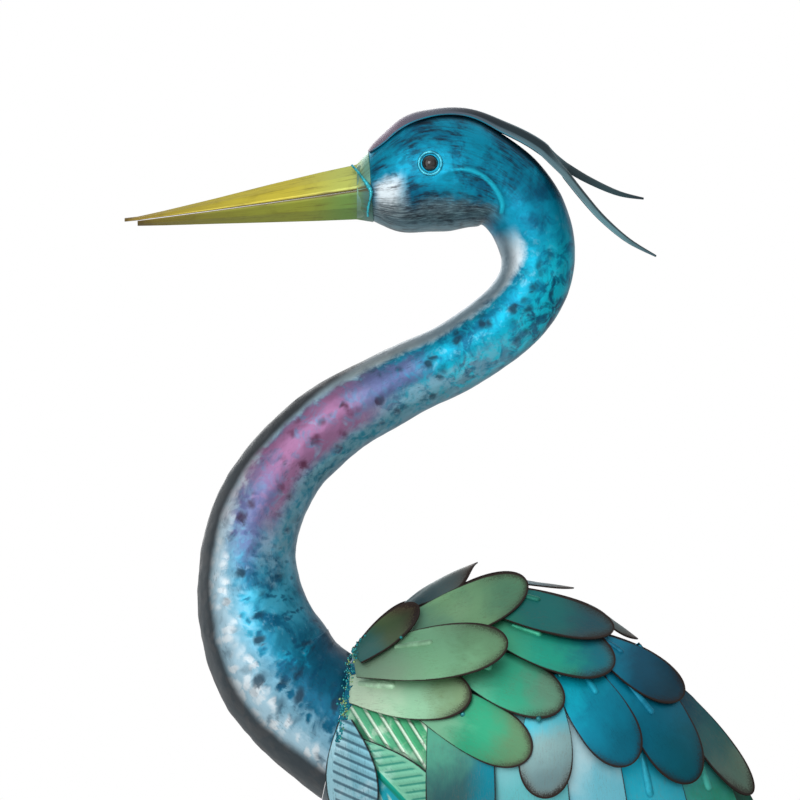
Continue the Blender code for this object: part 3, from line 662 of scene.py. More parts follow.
@dataclass(frozen=True)
class StandMetal:
    """Dark bronze paint over rod and plate, rubbed lighter in cloudy patches."""

    name: str
    dark: RGB = (0.030, 0.027, 0.024)
    rubbed: RGB = (0.105, 0.085, 0.060)
    patina: RGB = (0.020, 0.085, 0.090)
    lumps: float = 0.0006

    def make(self) -> bpy.types.Material:
        """Build the material."""
        shader = Shader(self.name)
        place = shader.place()
        clouds = shader.noise(place, 22.0, 4.0, 0.6, 0.5)
        grit = shader.noise(place, 420.0, 3.0, 0.6)
        dents = shader.cells(place, 85.0)
        paint = shader.coats(
            self.dark, (clouds.step(0.42, 0.70), self.rubbed), (clouds.step(0.46, 0.30) * 0.6, self.patina),
            (grit.step(0.55, 0.75) * 0.4, self.rubbed))
        bumps = ((dents, 0.35, self.lumps), (grit, 0.2, 0.0003))
        return shader.dress(paint, 0.42 + grit * 0.2, 0.7, bumps, 0.1, 0.3)


@dataclass(frozen=True)
class BeadBlack:
    """The glossy black bead of the eye."""

    name: str = "eye_black"

    def make(self) -> bpy.types.Material:
        """Build the material."""
        shader = Shader(self.name)
        clouds = shader.noise(shader.place(), 300.0, 2.0, 0.5)
        paint = shader.mix(clouds, (0.004, 0.003, 0.003), (0.018, 0.010, 0.008))
        return shader.dress(paint, 0.06 + clouds * 0.05, 0.0, (), 1.0, 0.03)


@dataclass(frozen=True)
class WeldFinish:
    """Weld spatter at the feather roots: yellow-green and cyan lumps."""

    name: str = "weld_spatter"

    def make(self) -> bpy.types.Material:
        """Build the material."""
        shader = Shader(self.name)
        clouds = shader.noise(shader.place(), 150.0, 3.0, 0.6, 0.5)
        stops = ((0.34, tint(0, 84, 104)), (0.50, tint(20, 134, 140)), (0.62, tint(140, 160, 84)))
        paint = shader.ramp(clouds, stops)
        return shader.dress(paint, 0.35, 0.6, ((clouds, 0.3, 0.0006),), 0.3, 0.2)


class Maker:
    """Turns a bmesh into a finished piece that rides on the statue's one body."""

    BODY = "root"

    def __init__(self) -> None:
        """Start with no material made."""
        self.paints: dict[str, bpy.types.Material] = {}
        self.count = 0

    def paint(self, finish: Any) -> bpy.types.Material:
        """Return a finish's material, made once."""
        if finish.name not in self.paints:
            self.paints[finish.name] = finish.make()
        return self.paints[finish.name]

    def piece(self, name: str, bm: bmesh.types.BMesh, finish: Any, slot: str, nodes: Iterable[str],
              turn: bool = True, sharp: float = 50.0) -> bpy.types.Object:
        """Write a piece to the scene.

        Args:
            name: The piece's name.
            bm: Its mesh, freed here.
            finish: Its finish.
            slot: The record's material slot, not used here.
            nodes: The solids it stands for.
            turn: Whether the faces are turned outwards here.
            sharp: Edges over this angle in degrees stay sharp.

        Returns:
            The new object.
        """
        if turn:
            bmesh.ops.recalc_face_normals(bm, faces=bm.faces)
        mesh = bpy.data.meshes.new(name)
        bm.to_mesh(mesh)
        bm.free()
        mesh.shade_smooth()
        mesh.set_sharp_from_angle(angle=math.radians(sharp))
        item = bpy.data.objects.new(name, mesh)
        bpy.context.scene.collection.objects.link(item)
        mesh.materials.append(self.paint(finish))
        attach(item, self.BODY)
        names = list(nodes)
        if names:
            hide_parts(*names)
        self.count += 1
        LOG.info("%s: %d faces", name, len(mesh.polygons))
        return item


def laid_grid(across: int, along: int, place: Callable[[float, float], Vector]) -> bmesh.types.BMesh:
    """Lay a square grid over a form.

    Args:
        across: Faces along the grid's first side.
        along: Faces along its second side.
        place: Gives the point for a share of each side.

    Returns:
        The grid, its shares kept in the layers s and t.
    """
    bm = bmesh.new()
    bmesh.ops.create_grid(bm, x_segments=across, y_segments=along, size=0.5)
    first = bm.verts.layers.float.new("s")
    second = bm.verts.layers.float.new("t")
    for vert in bm.verts:
        s = vert.co.x + 0.5
        t = vert.co.y + 0.5
        vert[first] = s
        vert[second] = t
        vert.co = place(s, t)
    return bm


def spread(bm: bmesh.types.BMesh, names: dict[str, Callable[[float, float], float]]) -> None:
    """Write attributes worked out from the grid's shares.

    Args:
        bm: A mesh from laid_grid.
        names: The function of each attribute.
    """
    for name in names:
        bm.verts.layers.float.new(name)
    first = bm.verts.layers.float["s"]
    second = bm.verts.layers.float["t"]
    for name, worth in names.items():
        layer = bm.verts.layers.float[name]
        for vert in bm.verts:
            vert[layer] = worth(vert[first], vert[second])


@dataclass
class Tube:
    """A form swept along a centre line in the middle plane, with oval sections across it.

    Attributes:
        stations: Column, row, radius and side factor of each section.
        steps: Sections made between two stations.
        first: The direction of the first section.
        last: The direction of the last section, or None to follow the line.
        square: How many stations it takes to leave the first direction.
        settle: How many stations it takes to reach the last one.
    """

    stations: tuple[tuple[float, float, float, float], ...]
    steps: int
    first: Vector
    last: Vector | None = None
    square: int = 7
    settle: float = 2.6

    def __post_init__(self) -> None:
        """Work out the centre line."""
        rows = smooth_rows(self.stations, self.steps)
        self.centres = [at(row[0], row[1]) for row in rows]
        self.radii = [row[2] * GRID for row in rows]
        self.widths = [row[2] * row[3] * GRID for row in rows]
        end = len(rows) - 1
        self.directions = []
        for index in range(len(rows)):
            run = self.centres[min(index + 1, end)] - self.centres[max(index - 1, 0)]
            self.directions.append(run.normalized())
        eased = self.square * self.steps
        for index in range(min(eased, end)):
            share = index / eased
            self.directions[index] = self.first.normalized().lerp(self.directions[index], share).normalized()
        if self.last is not None:
            settled = int(self.settle * self.steps)
            for index in range(settled + 1):
                share = 1.0 - index / settled
                spot = end - index
                self.directions[spot] = self.directions[spot].lerp(self.last.normalized(), share).normalized()
        self.ups = [Vector((-d.z, 0.0, d.x)) for d in self.directions]
        self.lengths = [0.0]
        for start, stop in zip(self.centres, self.centres[1:]):
            self.lengths.append(self.lengths[-1] + (stop - start).length)
        line = np.array([(centre.x, centre.z) for centre in self.centres])
        self.starts = line[:-1]
        self.runs = line[1:] - line[:-1]
        self.squares = (self.runs ** 2).sum(axis=1)

    def locate_share(self, t: float) -> tuple[int, float]:
        """Return the section before a share of the whole run and the share to the next one."""
        exact = min(max(t, 0.0), 1.0) * (len(self.centres) - 1)
        index = min(int(exact), len(self.centres) - 2)
        return index, exact - index

    def point(self, t: float, angle: float, lift: float = 0.0) -> Vector:
        """Return a point of the skin.

        Args:
            t: The share of the whole run.
            angle: The angle from the upper side.
            lift: How far over the skin.

        Returns:
            The point.
        """
        index, share = self.locate_share(t)
        points = []
        for near in (index, index + 1):
            up = self.ups[near] * ((self.radii[near] + lift) * math.cos(angle))
            side = Vector((0.0, (self.widths[near] + lift) * math.sin(angle), 0.0))
            points.append(self.centres[near] + up + side)
        return points[0].lerp(points[1], share)

    def along(self, t: float) -> float:
        """Return the length of the centre line up to a share of the run."""
        index, share = self.locate_share(t)
        return self.lengths[index] * (1 - share) + self.lengths[index + 1] * share

    def locate(self, point: Vector) -> tuple[float, float, float, float]:
        """Find a side view point on the tube.

        Args:
            point: The point, its side ignored.

        Returns:
            The height across the centre line, the radius and width there, and the share of the run.
        """
        spot = np.array((point.x, point.z))
        shares = np.clip(((spot - self.starts) * self.runs).sum(axis=1) / self.squares, 0.0, 1.0)
        feet = self.starts + self.runs * shares[:, None]
        away = ((spot - feet) ** 2).sum(axis=1)
        index = int(away.argmin())
        share = float(shares[index])
        up = self.ups[index].lerp(self.ups[index + 1], share)
        side = (point.x - feet[index][0]) * up.x + (point.z - feet[index][1]) * up.z
        height = math.copysign(math.sqrt(away[index]), side)
        radius = self.radii[index] + (self.radii[index + 1] - self.radii[index]) * share
        width = self.widths[index] + (self.widths[index + 1] - self.widths[index]) * share
        return height, radius, width, (index + share) / len(self.runs)

    def side_at(self, point: Vector) -> float:
        """Return how far the skin stands from the middle plane at a side view point."""
        height, radius, width, _ = self.locate(point)
        share = min(abs(height) / radius, 1.0)
        return width * math.sqrt(1.0 - share * share)


BEAK_MIDDLE = at(250, 205)
SEAM = (337, 727, 74, 0.97)
SEAM_DIRECTION = Vector((0.978, 0.0, -0.207))
HEAD_NECK = (
    (357, 192, 27, 0.80), (366, 189, 30.5, 0.80), (379, 184.5, 41.5, 0.78), (399, 180, 53.4, 0.75),
    (427, 172.5, 60, 0.74), (458, 172.5, 59, 0.76), (487, 180.5, 49.5, 0.82), (508, 192, 43, 0.88),
    (524, 211, 41, 0.92), (534, 234, 39.5, 0.94), (538, 258, 37.5, 0.95), (534, 282, 36.5, 0.96),
    (521, 305, 36.3, 0.96), (499, 327, 36.3, 0.96), (455, 357, 36, 0.96), (414, 376, 36.5, 0.96),
    (376, 396, 38, 0.96), (340, 416, 39.4, 0.96), (310, 440, 40.7, 0.96), (286, 465, 41.5, 0.96),
    (267, 494, 44, 0.96), (254, 525, 46, 0.96), (248, 559, 48.5, 0.96), (250, 595, 53.5, 0.96),
    (257, 625.5, 57.8, 0.96), (268, 651, 62, 0.96), (283, 676, 65.5, 0.96), (307, 703, 69, 0.97), SEAM,
)
BODY_FRONT = (
    SEAM, (365, 732, 95, 0.94), (400, 738, 116, 0.90), (440, 745, 138, 0.87),
    (480, 752, 154, 0.85), (560, 784, 152, 0.87), (635, 822, 121, 0.90),
)
BODY_END = ((700, 862, 76, 0.92), (746, 892, 42, 0.95), (778, 914, 12, 1.0))
SHELL_END = ((700, 862, 79, 0.92), (768, 906, 58, 0.84), (840, 955, 44, 0.75), (910, 1005, 30, 0.7))
SHELL_STRAIGHT_FROM = 0.85
RIDGE_HALF_GAP = 0.0030
PLATE_THICKNESS = 0.0010
PLATE_WIDEST = 0.58
PLATE_FULLNESS = 2.4
PLATE_BLUNTNESS = 0.004
TIP_CROWDING = 1.6


class Layer:
    """The smooth layer the feathers lie on: its distance from the middle plane, on a grid."""

    STEP = 0.002
    LOW = (-0.16, 0.20)
    CELLS = (250, 265)
    SOFTEN = 3.4
    REACH = 11

    def __init__(self, tube: Tube) -> None:
        """Measure the tube on the grid and smooth it."""
        values = np.zeros(self.CELLS)
        for column in range(self.CELLS[0]):
            for row in range(self.CELLS[1]):
                spot = Vector((self.LOW[0] + column * self.STEP, 0.0, self.LOW[1] + row * self.STEP))
                values[column, row] = self.measure(tube, spot)
        reach = self.REACH
        weights = np.exp(-0.5 * (np.arange(-reach, reach + 1) / self.SOFTEN) ** 2)
        weights /= weights.sum()
        padded = np.pad(values, reach, mode="edge")
        for axis in (0, 1):
            padded = np.apply_along_axis(np.convolve, axis, padded, weights, "same")
        self.values = padded[reach:-reach, reach:-reach].tolist()

    @staticmethod
    def measure(tube: Tube, point: Vector) -> float:
        """Return the layer's distance from the middle plane, straight on near the ridge."""
        height, radius, width, _ = tube.locate(point)
        share = abs(height) / radius
        if share <= SHELL_STRAIGHT_FROM:
            return width * math.sqrt(1.0 - share * share)
        depth = math.sqrt(1.0 - SHELL_STRAIGHT_FROM ** 2)
        slope = SHELL_STRAIGHT_FROM / depth
        return max(width * (depth - slope * (share - SHELL_STRAIGHT_FROM)), RIDGE_HALF_GAP)

    def at(self, point: Vector) -> float:
        """Return the smoothed distance at a side view point."""
        across = min(max((point.x - self.LOW[0]) / self.STEP, 0.0), self.CELLS[0] - 1.001)
        up = min(max((point.z - self.LOW[1]) / self.STEP, 0.0), self.CELLS[1] - 1.001)
        column, row = int(across), int(up)
        a, b = across - column, up - row
        near = self.values[column][row] * (1 - b) + self.values[column][row + 1] * b
        far = self.values[column + 1][row] * (1 - b) + self.values[column + 1][row + 1] * b
        return near * (1 - a) + far * a


@dataclass(frozen=True)
class Quill:
    """A raised quill: its start, end and half width on the drawing grid, and its sunk share."""

    start: tuple[float, float]
    end: tuple[float, float]
    half: float = 3.2
    sunk: float = 0.42

    def radius_at(self, share: float) -> float:
        """Return the quill's radius at a share of its length, rounded off at its end."""
        left = (1.0 - share) * (at(*self.end) - at(*self.start)).length
        full = 1.3 * self.half * GRID * (0.7 + 0.3 * ease(share, 0.0, 0.6))
        return full * math.sqrt(max(1.0 - max(1.0 - left / full, 0.0) ** 2, 0.02))


@dataclass(frozen=True)
class Barbs:
    """Straight barbs pressed into a leaf.

    Attributes:
        slope: Degrees under the horizontal in the side view.
        spacing: Grid divisions between two barbs.
        reach: The shares of the half width between which they run.
        rise: Grid divisions over the sheet, under it where negative.
        keen: How narrow they are.
    """

    slope: float
    spacing: float
    reach: tuple[float, float]
    rise: float
    keen: float = 2.0

    def wave(self, point: Vector, across: float) -> float:
        """Return how strong the barbs are at a point, 0 to 1."""
        turn = math.radians(self.slope)
        away = point.x * math.sin(turn) + point.z * math.cos(turn)
        swing = 0.5 + 0.5 * math.cos(2.0 * math.pi * away / (self.spacing * GRID))
        low, high = self.reach
        return swing ** self.keen * ease(across, low, low + 0.14) * ease(across, high, high - 0.14)


@dataclass(frozen=True)
class Feather:
    """One plate of a flank: root and tip on the drawing grid, width, root share and its looks."""

    name: str
    root: tuple[float, float]
    tip: tuple[float, float]
    width: float
    root_share: float
    paint: Any
    slot: str
    quill: Quill | None = None
    barbs: tuple[Barbs, ...] = ()
    midrib: float = 0.0
    taper: float = 0.5

    @property
    def start(self) -> Vector:
        """The root's middle."""
        return at(*self.root)

    @property
    def run(self) -> Vector:
        """The way from root to tip."""
        return at(*self.tip) - at(*self.root)

    @property
    def over(self) -> Vector:
        """The direction across the plate in the side view."""
        along = self.run.normalized()
        return Vector((-along.z, 0.0, along.x))

    @property
    def half(self) -> float:
        """The largest half width."""
        return self.width * GRID / 2

    def outline(self, share: float) -> float:
        """Return the half width at a share of the length."""
        if share <= PLATE_WIDEST:
            swell = math.sin(share / PLATE_WIDEST * math.pi / 2)
            return self.half * (self.root_share + (1.0 - self.root_share) * swell)
        fall = (share - PLATE_WIDEST) / (1.0 - PLATE_WIDEST)
        return self.half * max(1.0 - fall ** PLATE_FULLNESS, PLATE_BLUNTNESS) ** self.taper

    def spot(self, share: float, across: float) -> Vector:
        """Return the side view point at a share of the length and of the half width."""
        return self.start + self.run * share + self.over * (self.outline(share) * across)

    def covers(self, point: Vector, margin: float) -> bool:
        """Tell if a side view point lies on the plate or within a margin of it."""
        offset = point - self.start
        length = self.run.length
        along = offset.dot(self.run) / length
        if along < -margin or along > length + margin:
            return False
        return abs(offset.dot(self.over)) <= self.outline(min(max(along / length, 0.0), 1.0)) + margin

    def rim_at(self, share: float, across: float) -> float:
        """Return the rough distance to the plate's edge."""
        length = self.run.length
        sideways = self.outline(share) * (1.0 - abs(across))
        step = 0.01
        slope = (self.outline(min(share + step, 1.0)) - self.outline(share)) / (step * length)
        return min(sideways / math.sqrt(1.0 + slope * slope), (1.0 - share) * length + 0.0002)


def even_share(value: float) -> float:
    """Crowd the grid toward the tip, where the outline turns fastest."""
    return 1.0 - (1.0 - value) ** TIP_CROWDING


def sheet_attributes(feather: Feather, seed: float) -> dict[str, Callable[[float, float], float]]:
    """Return the attributes that every plate's lacquer reads.

    Args:
        feather: The plate.
        seed: Shifts its pattern.

    Returns:
        The functions of the grid's shares, by attribute.
    """
    return {
        "share": lambda s, t: even_share(t),
        "along": lambda s, t: even_share(t) * feather.run.length,
        "across": lambda s, t: feather.outline(even_share(t)) * (2.0 * s - 1.0),
        "rim": lambda s, t: feather.rim_at(even_share(t), 2.0 * s - 1.0),
        "seed": lambda s, t: seed,
    }


def turn_out(bm: bmesh.types.BMesh, outward: Callable[[bmesh.types.BMFace], float],
             rank: Callable[[bmesh.types.BMFace], float] = lambda face: face.calc_area()) -> None:
    """Turn an open sheet's faces outwards.

    Args:
        bm: The sheet.
        outward: Tells by its sign if a face looks outwards.
        rank: The face that ranks highest is the one asked.
    """
    bm.normal_update()
    if outward(max(bm.faces, key=rank)) < 0:
        bmesh.ops.reverse_faces(bm, faces=bm.faces)


@dataclass
class Plumage:
    """All feather plates of both flanks.

    Attributes:
        maker: Writes the pieces.
        layer: The layer the plates lie on.
        feathers: The plates of one flank from the lowest to the top one.
        columns: Faces across a plate.
        rows: Faces along a plate.
        fine: How many times finer a leaf with barbs is.
        camber: How far a plate's middle swells.
        cover: How far round a plate the ones below count as covered.
        midrib_half: A midrib's half width on the drawing grid.
    """

    maker: Maker
    layer: Layer
    feathers: tuple[Feather, ...]
    columns: int = 36
    rows: int = 56
    fine: float = 2.0
    camber: float = 0.0006
    cover: float = 0.0022
    midrib_half: float = 2.6

    def lie(self, feather: Feather) -> tuple[float, float, float]:
        """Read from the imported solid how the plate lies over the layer.

        Args:
            feather: The plate.

        Returns:
            Its height at the root, and the rise along and across.
        """
        rows, heights = [], []
        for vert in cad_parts[feather.name + "_left"].data.vertices:
            point = Vector((vert.co.x, 0.0, vert.co.z))
            offset = point - feather.start
            rows.append((1.0, offset.dot(feather.run.normalized()), offset.dot(feather.over)))
            heights.append(abs(vert.co.y) - self.layer.at(point))
        found = np.linalg.lstsq(np.array(rows), np.array(heights), rcond=None)[0]
        return float(found[0]), float(found[1]), float(found[2])

    def relief(self, feather: Feather, point: Vector, share: float, across: float, free: float) -> float:
        """Return how far the plate's own form stands over its plain sheet.

        Args:
            feather: The plate.
            point: The side view point.
            share: The share of the length.
            across: The share of the half width, from -1 to 1.
            free: 1 where no other plate covers it, 0 where one does.

        Returns:
            The height.
        """
        swell = self.camber * (1.0 - across * across) * math.sin(math.pi * min(share + 0.15, 1.0))
        for barbs in feather.barbs:
            swell += barbs.wave(point, across) * barbs.rise * GRID * free
        swell += self.midrib(feather, share, across) * feather.midrib * GRID * free
        return swell

    def barb(self, feather: Feather, share: float, across: float) -> float:
        """Return how strong the barbs are, negative for pressed strokes."""
        point = feather.spot(share, across)
        return sum(math.copysign(barbs.wave(point, across), barbs.rise) for barbs in feather.barbs)

    def midrib(self, feather: Feather, share: float, across: float) -> float:
        """Return how strong a leaf's midrib is, 0 to 1."""
        if not feather.midrib:
            return 0.0
        return math.exp(-(across * feather.outline(share) / (self.midrib_half * GRID)) ** 2)

    def plate(self, index: int, side: Side) -> None:
        """Build one plate on one flank.

        Args:
            index: Its place in the list.
            side: The flank.
        """
        feather = self.feathers[index]
        above = self.feathers[index + 1:]
        base, pitch, roll = self.lie(feather)
        along_way = feather.run.normalized()

        def place(s: float, t: float) -> Vector:
            """Return the plate's surface point."""
            share, across = even_share(t), 2.0 * s - 1.0
            point = feather.spot(share, across)
            free = 0.0 if any(plate.covers(point, self.cover) for plate in above) else 1.0
            offset = point - feather.start
            height = base + pitch * offset.dot(along_way) + roll * offset.dot(feather.over)
            height += self.relief(feather, point, share, across, free)
            out = self.layer.at(point) + height
            return Vector((point.x, side.value * out, point.z))

        fine = self.fine if feather.barbs else 1.0
        bm = laid_grid(int(self.columns * fine), int(self.rows * fine), place)
        seed = index * 3.7 + (0.0 if side is Side.LEFT else 41.0)
        spread(bm, {
            **sheet_attributes(feather, seed),
            "barb": lambda s, t: self.barb(feather, even_share(t), 2.0 * s - 1.0),
            "midrib": lambda s, t: self.midrib(feather, even_share(t), 2.0 * s - 1.0),
        })
        turn_out(bm, lambda face: face.normal.y * side.value)
        name = feather.name + side.word
        item = self.maker.piece("plate_" + name, bm, feather.paint, feather.slot, [name], False)
        thicken(item, PLATE_THICKNESS, 0.0)
        if feather.quill is not None:
            self.rib(feather, (base, pitch, roll), side)

    def rib(self, feather: Feather, lie: tuple[float, float, float], side: Side) -> None:
        """Lay a plate's quill along it, half sunk.

        Args:
            feather: The plate.
            lie: Its height at the root, and the rise along and across.
            side: The flank.
        """
        quill = feather.quill
        points, radii = [], []
        steps = 24
        for step in range(steps + 1):
            share = even_share(step / steps)
            point = at(*quill.start).lerp(at(*quill.end), share)
            offset = point - feather.start
            height = lie[0] + lie[1] * offset.dot(feather.run.normalized())
            height += lie[2] * offset.dot(feather.over)
            reach = offset.dot(feather.run) / feather.run.length_squared
            across = offset.dot(feather.over) / feather.outline(reach)
            height += self.relief(feather, point, reach, across, 1.0) + PLATE_THICKNESS / 2
            out = self.layer.at(point) + height - quill.sunk * quill.half * GRID
            points.append(Vector((point.x, side.value * out, point.z)))
            radii.append(quill.radius_at(share))
        tone = feather.paint
        blend = [(near + far) / 2 for near, far in zip(tone.root, tone.middle)]
        dark, bright = tuple(value * 0.8 for value in blend), tuple(value * 1.1 + 0.01 for value in blend)
        finish = QuillPaint("quill_" + tone.name, dark, bright)
        bm = swept(points, radii, 20)
        self.maker.piece("quill_" + feather.name + side.word, bm, finish, feather.slot, [])

    def build(self) -> None:
        """Build every plate on both flanks."""
        for index in range(len(self.feathers)):
            for side in Side:
                self.plate(index, side)


def thicken(item: bpy.types.Object, thickness: float, offset: float) -> None:
    """Give a sheet its thickness and a softened edge."""
    wall = item.modifiers.new("sheet", "SOLIDIFY")
    wall.thickness = thickness
    wall.offset = offset
    wall.use_even_offset = True
    edge = item.modifiers.new("softened_edge", "BEVEL")
    edge.width = thickness * 0.3
    edge.segments = 2
    edge.limit_method = "ANGLE"
    edge.angle_limit = math.radians(60)


SHOULDER = "shoulder_paint"
FLIGHT = "flight_paint"
LEAF = "leaf_paint"


def lacquers() -> dict[str, PlatePaint]:
    """Return the lacquers of the feather plates by name."""
    brown, blue = {"smudge": tint(88, 76, 58)}, {"smudge": tint(12, 62, 84)}
    petrol_side = tint(10, 126, 146)
    rows = (
        ("olive", (46, 104, 100), (76, 96, 66), (60, 60, 46), {**brown, "smoke": 0.9}),
        ("sage", (130, 162, 136), (126, 182, 142), (108, 152, 116), brown),
        ("jade", (94, 142, 118), (124, 170, 126), (92, 140, 110), brown),
        # pale_green's pale root is partly a painted highlight
        ("pale_green", (194, 220, 192), (152, 204, 168), (128, 160, 122), brown),
        ("green", (104, 184, 150), (56, 166, 132), (98, 146, 122), brown),
        ("leaf_green", (118, 178, 144), (46, 148, 112), (84, 128, 94), brown),
        ("teal", (48, 132, 106), (18, 110, 108), (34, 82, 94), brown),
        ("sea", (80, 172, 132), (40, 164, 140), (24, 118, 134), brown),
        ("silver", (60, 176, 196), (124, 158, 160), (104, 132, 136), {"smoke": 0.7}),
        ("cyan", (0, 172, 196), (0, 128, 156), (0, 104, 128), blue),
        ("navy", (0, 124, 154), (0, 84, 110), (6, 62, 80), blue),
        ("lagoon", (0, 136, 168), (0, 112, 138), (14, 98, 114), blue),
        ("moss", (0, 72, 92), (52, 104, 106), (102, 132, 118), {}),
        ("petrol", (84, 160, 136), (50, 94, 98), (44, 84, 92), {"smoke": 0.8, "side": petrol_side}),
        ("mist", (120, 186, 192), (100, 184, 190), (96, 172, 184), {"smoke": 0.6}),
        ("frost", (176, 212, 220), (110, 190, 208), (84, 166, 190), {"smoke": 0.7}),
        ("sky", (20, 166, 194), (58, 178, 200), (50, 162, 186), {}),
        ("leek", (80, 180, 180), (46, 154, 122), (66, 142, 88), {}),
        ("ivy", (16, 84, 70), (30, 98, 78), (42, 100, 78), {}),
    )
    return {name: PlatePaint("lacquer_" + name, tint(*root), tint(*middle), tint(*tip), **more)
            for name, root, middle, tip, more in rows}


def breast_leaves() -> list[Feather]:
    """Return the ribbed leaves beside the neck, the lowest first."""
    fern = LeafPaint("lacquer_fern", tint(64, 154, 108), tint(84, 166, 126), tint(214, 232, 214),
                     tint(30, 104, 96), tint(60, 130, 110))
    mint = LeafPaint("lacquer_mint", tint(118, 190, 160), tint(30, 164, 182), tint(178, 220, 206),
                     tint(34, 130, 114), tint(0, 144, 124))
    ice = LeafPaint("lacquer_ice", tint(128, 186, 202), tint(150, 200, 214), tint(204, 228, 236),
                    tint(44, 78, 96), tint(110, 156, 178))
    return [
        Feather("breast_leaf_1", (353, 703), (466, 788), 62, 0.45, fern, LEAF,
                barbs=(Barbs(57.8, 10.4, (-1.3, 1.3), 1.5, 4.5),)),
        Feather("breast_leaf_2", (351, 742), (446, 842), 74, 0.30, mint, LEAF, midrib=1.8,
                barbs=(Barbs(-9.0, 7.6, (0.10, 0.94), -0.9, 1.9), Barbs(70.0, 9.0, (-0.9, -0.12), 0.7, 2.0))),
        Feather("breast_leaf_3", (346, 718), (357, 826), 52, 0.25, ice, LEAF,
                barbs=(Barbs(23.0, 8.4, (-0.80, 1.25), -1.0, 1.5),)),
    ]


def plumage_table() -> tuple[Feather, ...]:
    """Return the plates of a flank with their lacquers, from the lowest layer to the top one."""
    paints = lacquers()
    plates = breast_leaves()
    rows = (
        ("flight_feather_6", (705, 745), (800, 955), 46, 0.62, "ivy"),
        ("flight_feather_5", (680, 722), (750, 958), 66, 0.70, "leek", (690, 743), (707, 789), 3.4),
        ("flight_feather_4", (632, 708), (682, 936), 66, 0.70, "sky", (639, 750), (648, 794), 3.4),
        ("flight_feather_3", (578, 700), (604, 912), 70, 0.75, "frost", (590, 722), (594, 752), 2.6),
        ("flight_feather_2", (524, 700), (536, 890), 76, 0.75, "mist"),
        ("flight_feather_1", (459, 700), (461, 870), 69, 0.90, "petrol"),
        ("shoulder_feather_13", (671, 688), (751, 793), 32, 0.50, "moss"),
        ("shoulder_feather_12", (620, 655), (692, 779), 57, 0.80, "lagoon", (626, 682), (651, 712), 3.0),
        ("shoulder_feather_11", (566, 664), (630, 760), 57, 0.65, "cyan", (583, 672), (595, 692), 2.8),
        ("shoulder_feather_10", (545, 696), (543, 794), 54, 0.55, "silver"),
        ("shoulder_feather_9", (598, 642), (682, 695), 40, 0.50, "navy", (602, 638), (622, 652), 2.6),
        ("shoulder_feather_8", (426, 696), (529, 752), 57, 0.75, "leaf_green"),
        ("shoulder_feather_7", (453, 655), (562, 702), 54, 0.50, "green", (466, 656), (491, 667), 3.0),
        ("shoulder_feather_6", (474, 612), (613, 663), 54, 0.50, "sea", (512, 624), (541, 634), 3.0),
        ("shoulder_feather_5", (466, 592), (613, 628), 38, 0.50, "teal", (512, 593), (540, 600), 2.8),
        ("shoulder_feather_4", (404, 637), (527, 581), 47, 0.80, "jade"),
        ("shoulder_feather_3", (350, 688), (471, 692), 54, 0.50, "pale_green", (360, 682), (396, 684), 3.4),
        ("shoulder_feather_2", (355, 664), (507, 639), 52, 0.45, "sage", (396, 646), (433, 641), 3.0),
        ("shoulder_feather_1", (357, 656), (418, 604), 28, 0.50, "olive"),
    )
    for name, root, tip, width, root_share, tone, *quill in rows:
        slot = FLIGHT if name.startswith("flight") else SHOULDER
        rib = Quill(*quill) if quill else None
        plates.append(Feather(name, root, tip, width, root_share, paints[tone], slot, rib))
    return tuple(plates)


@dataclass(frozen=True)
class RidgeFeather(Feather):
    """A plate astride the ridge of the back, arched down to both flanks."""

    arch: float = 0.34
    bow: float = 1.5


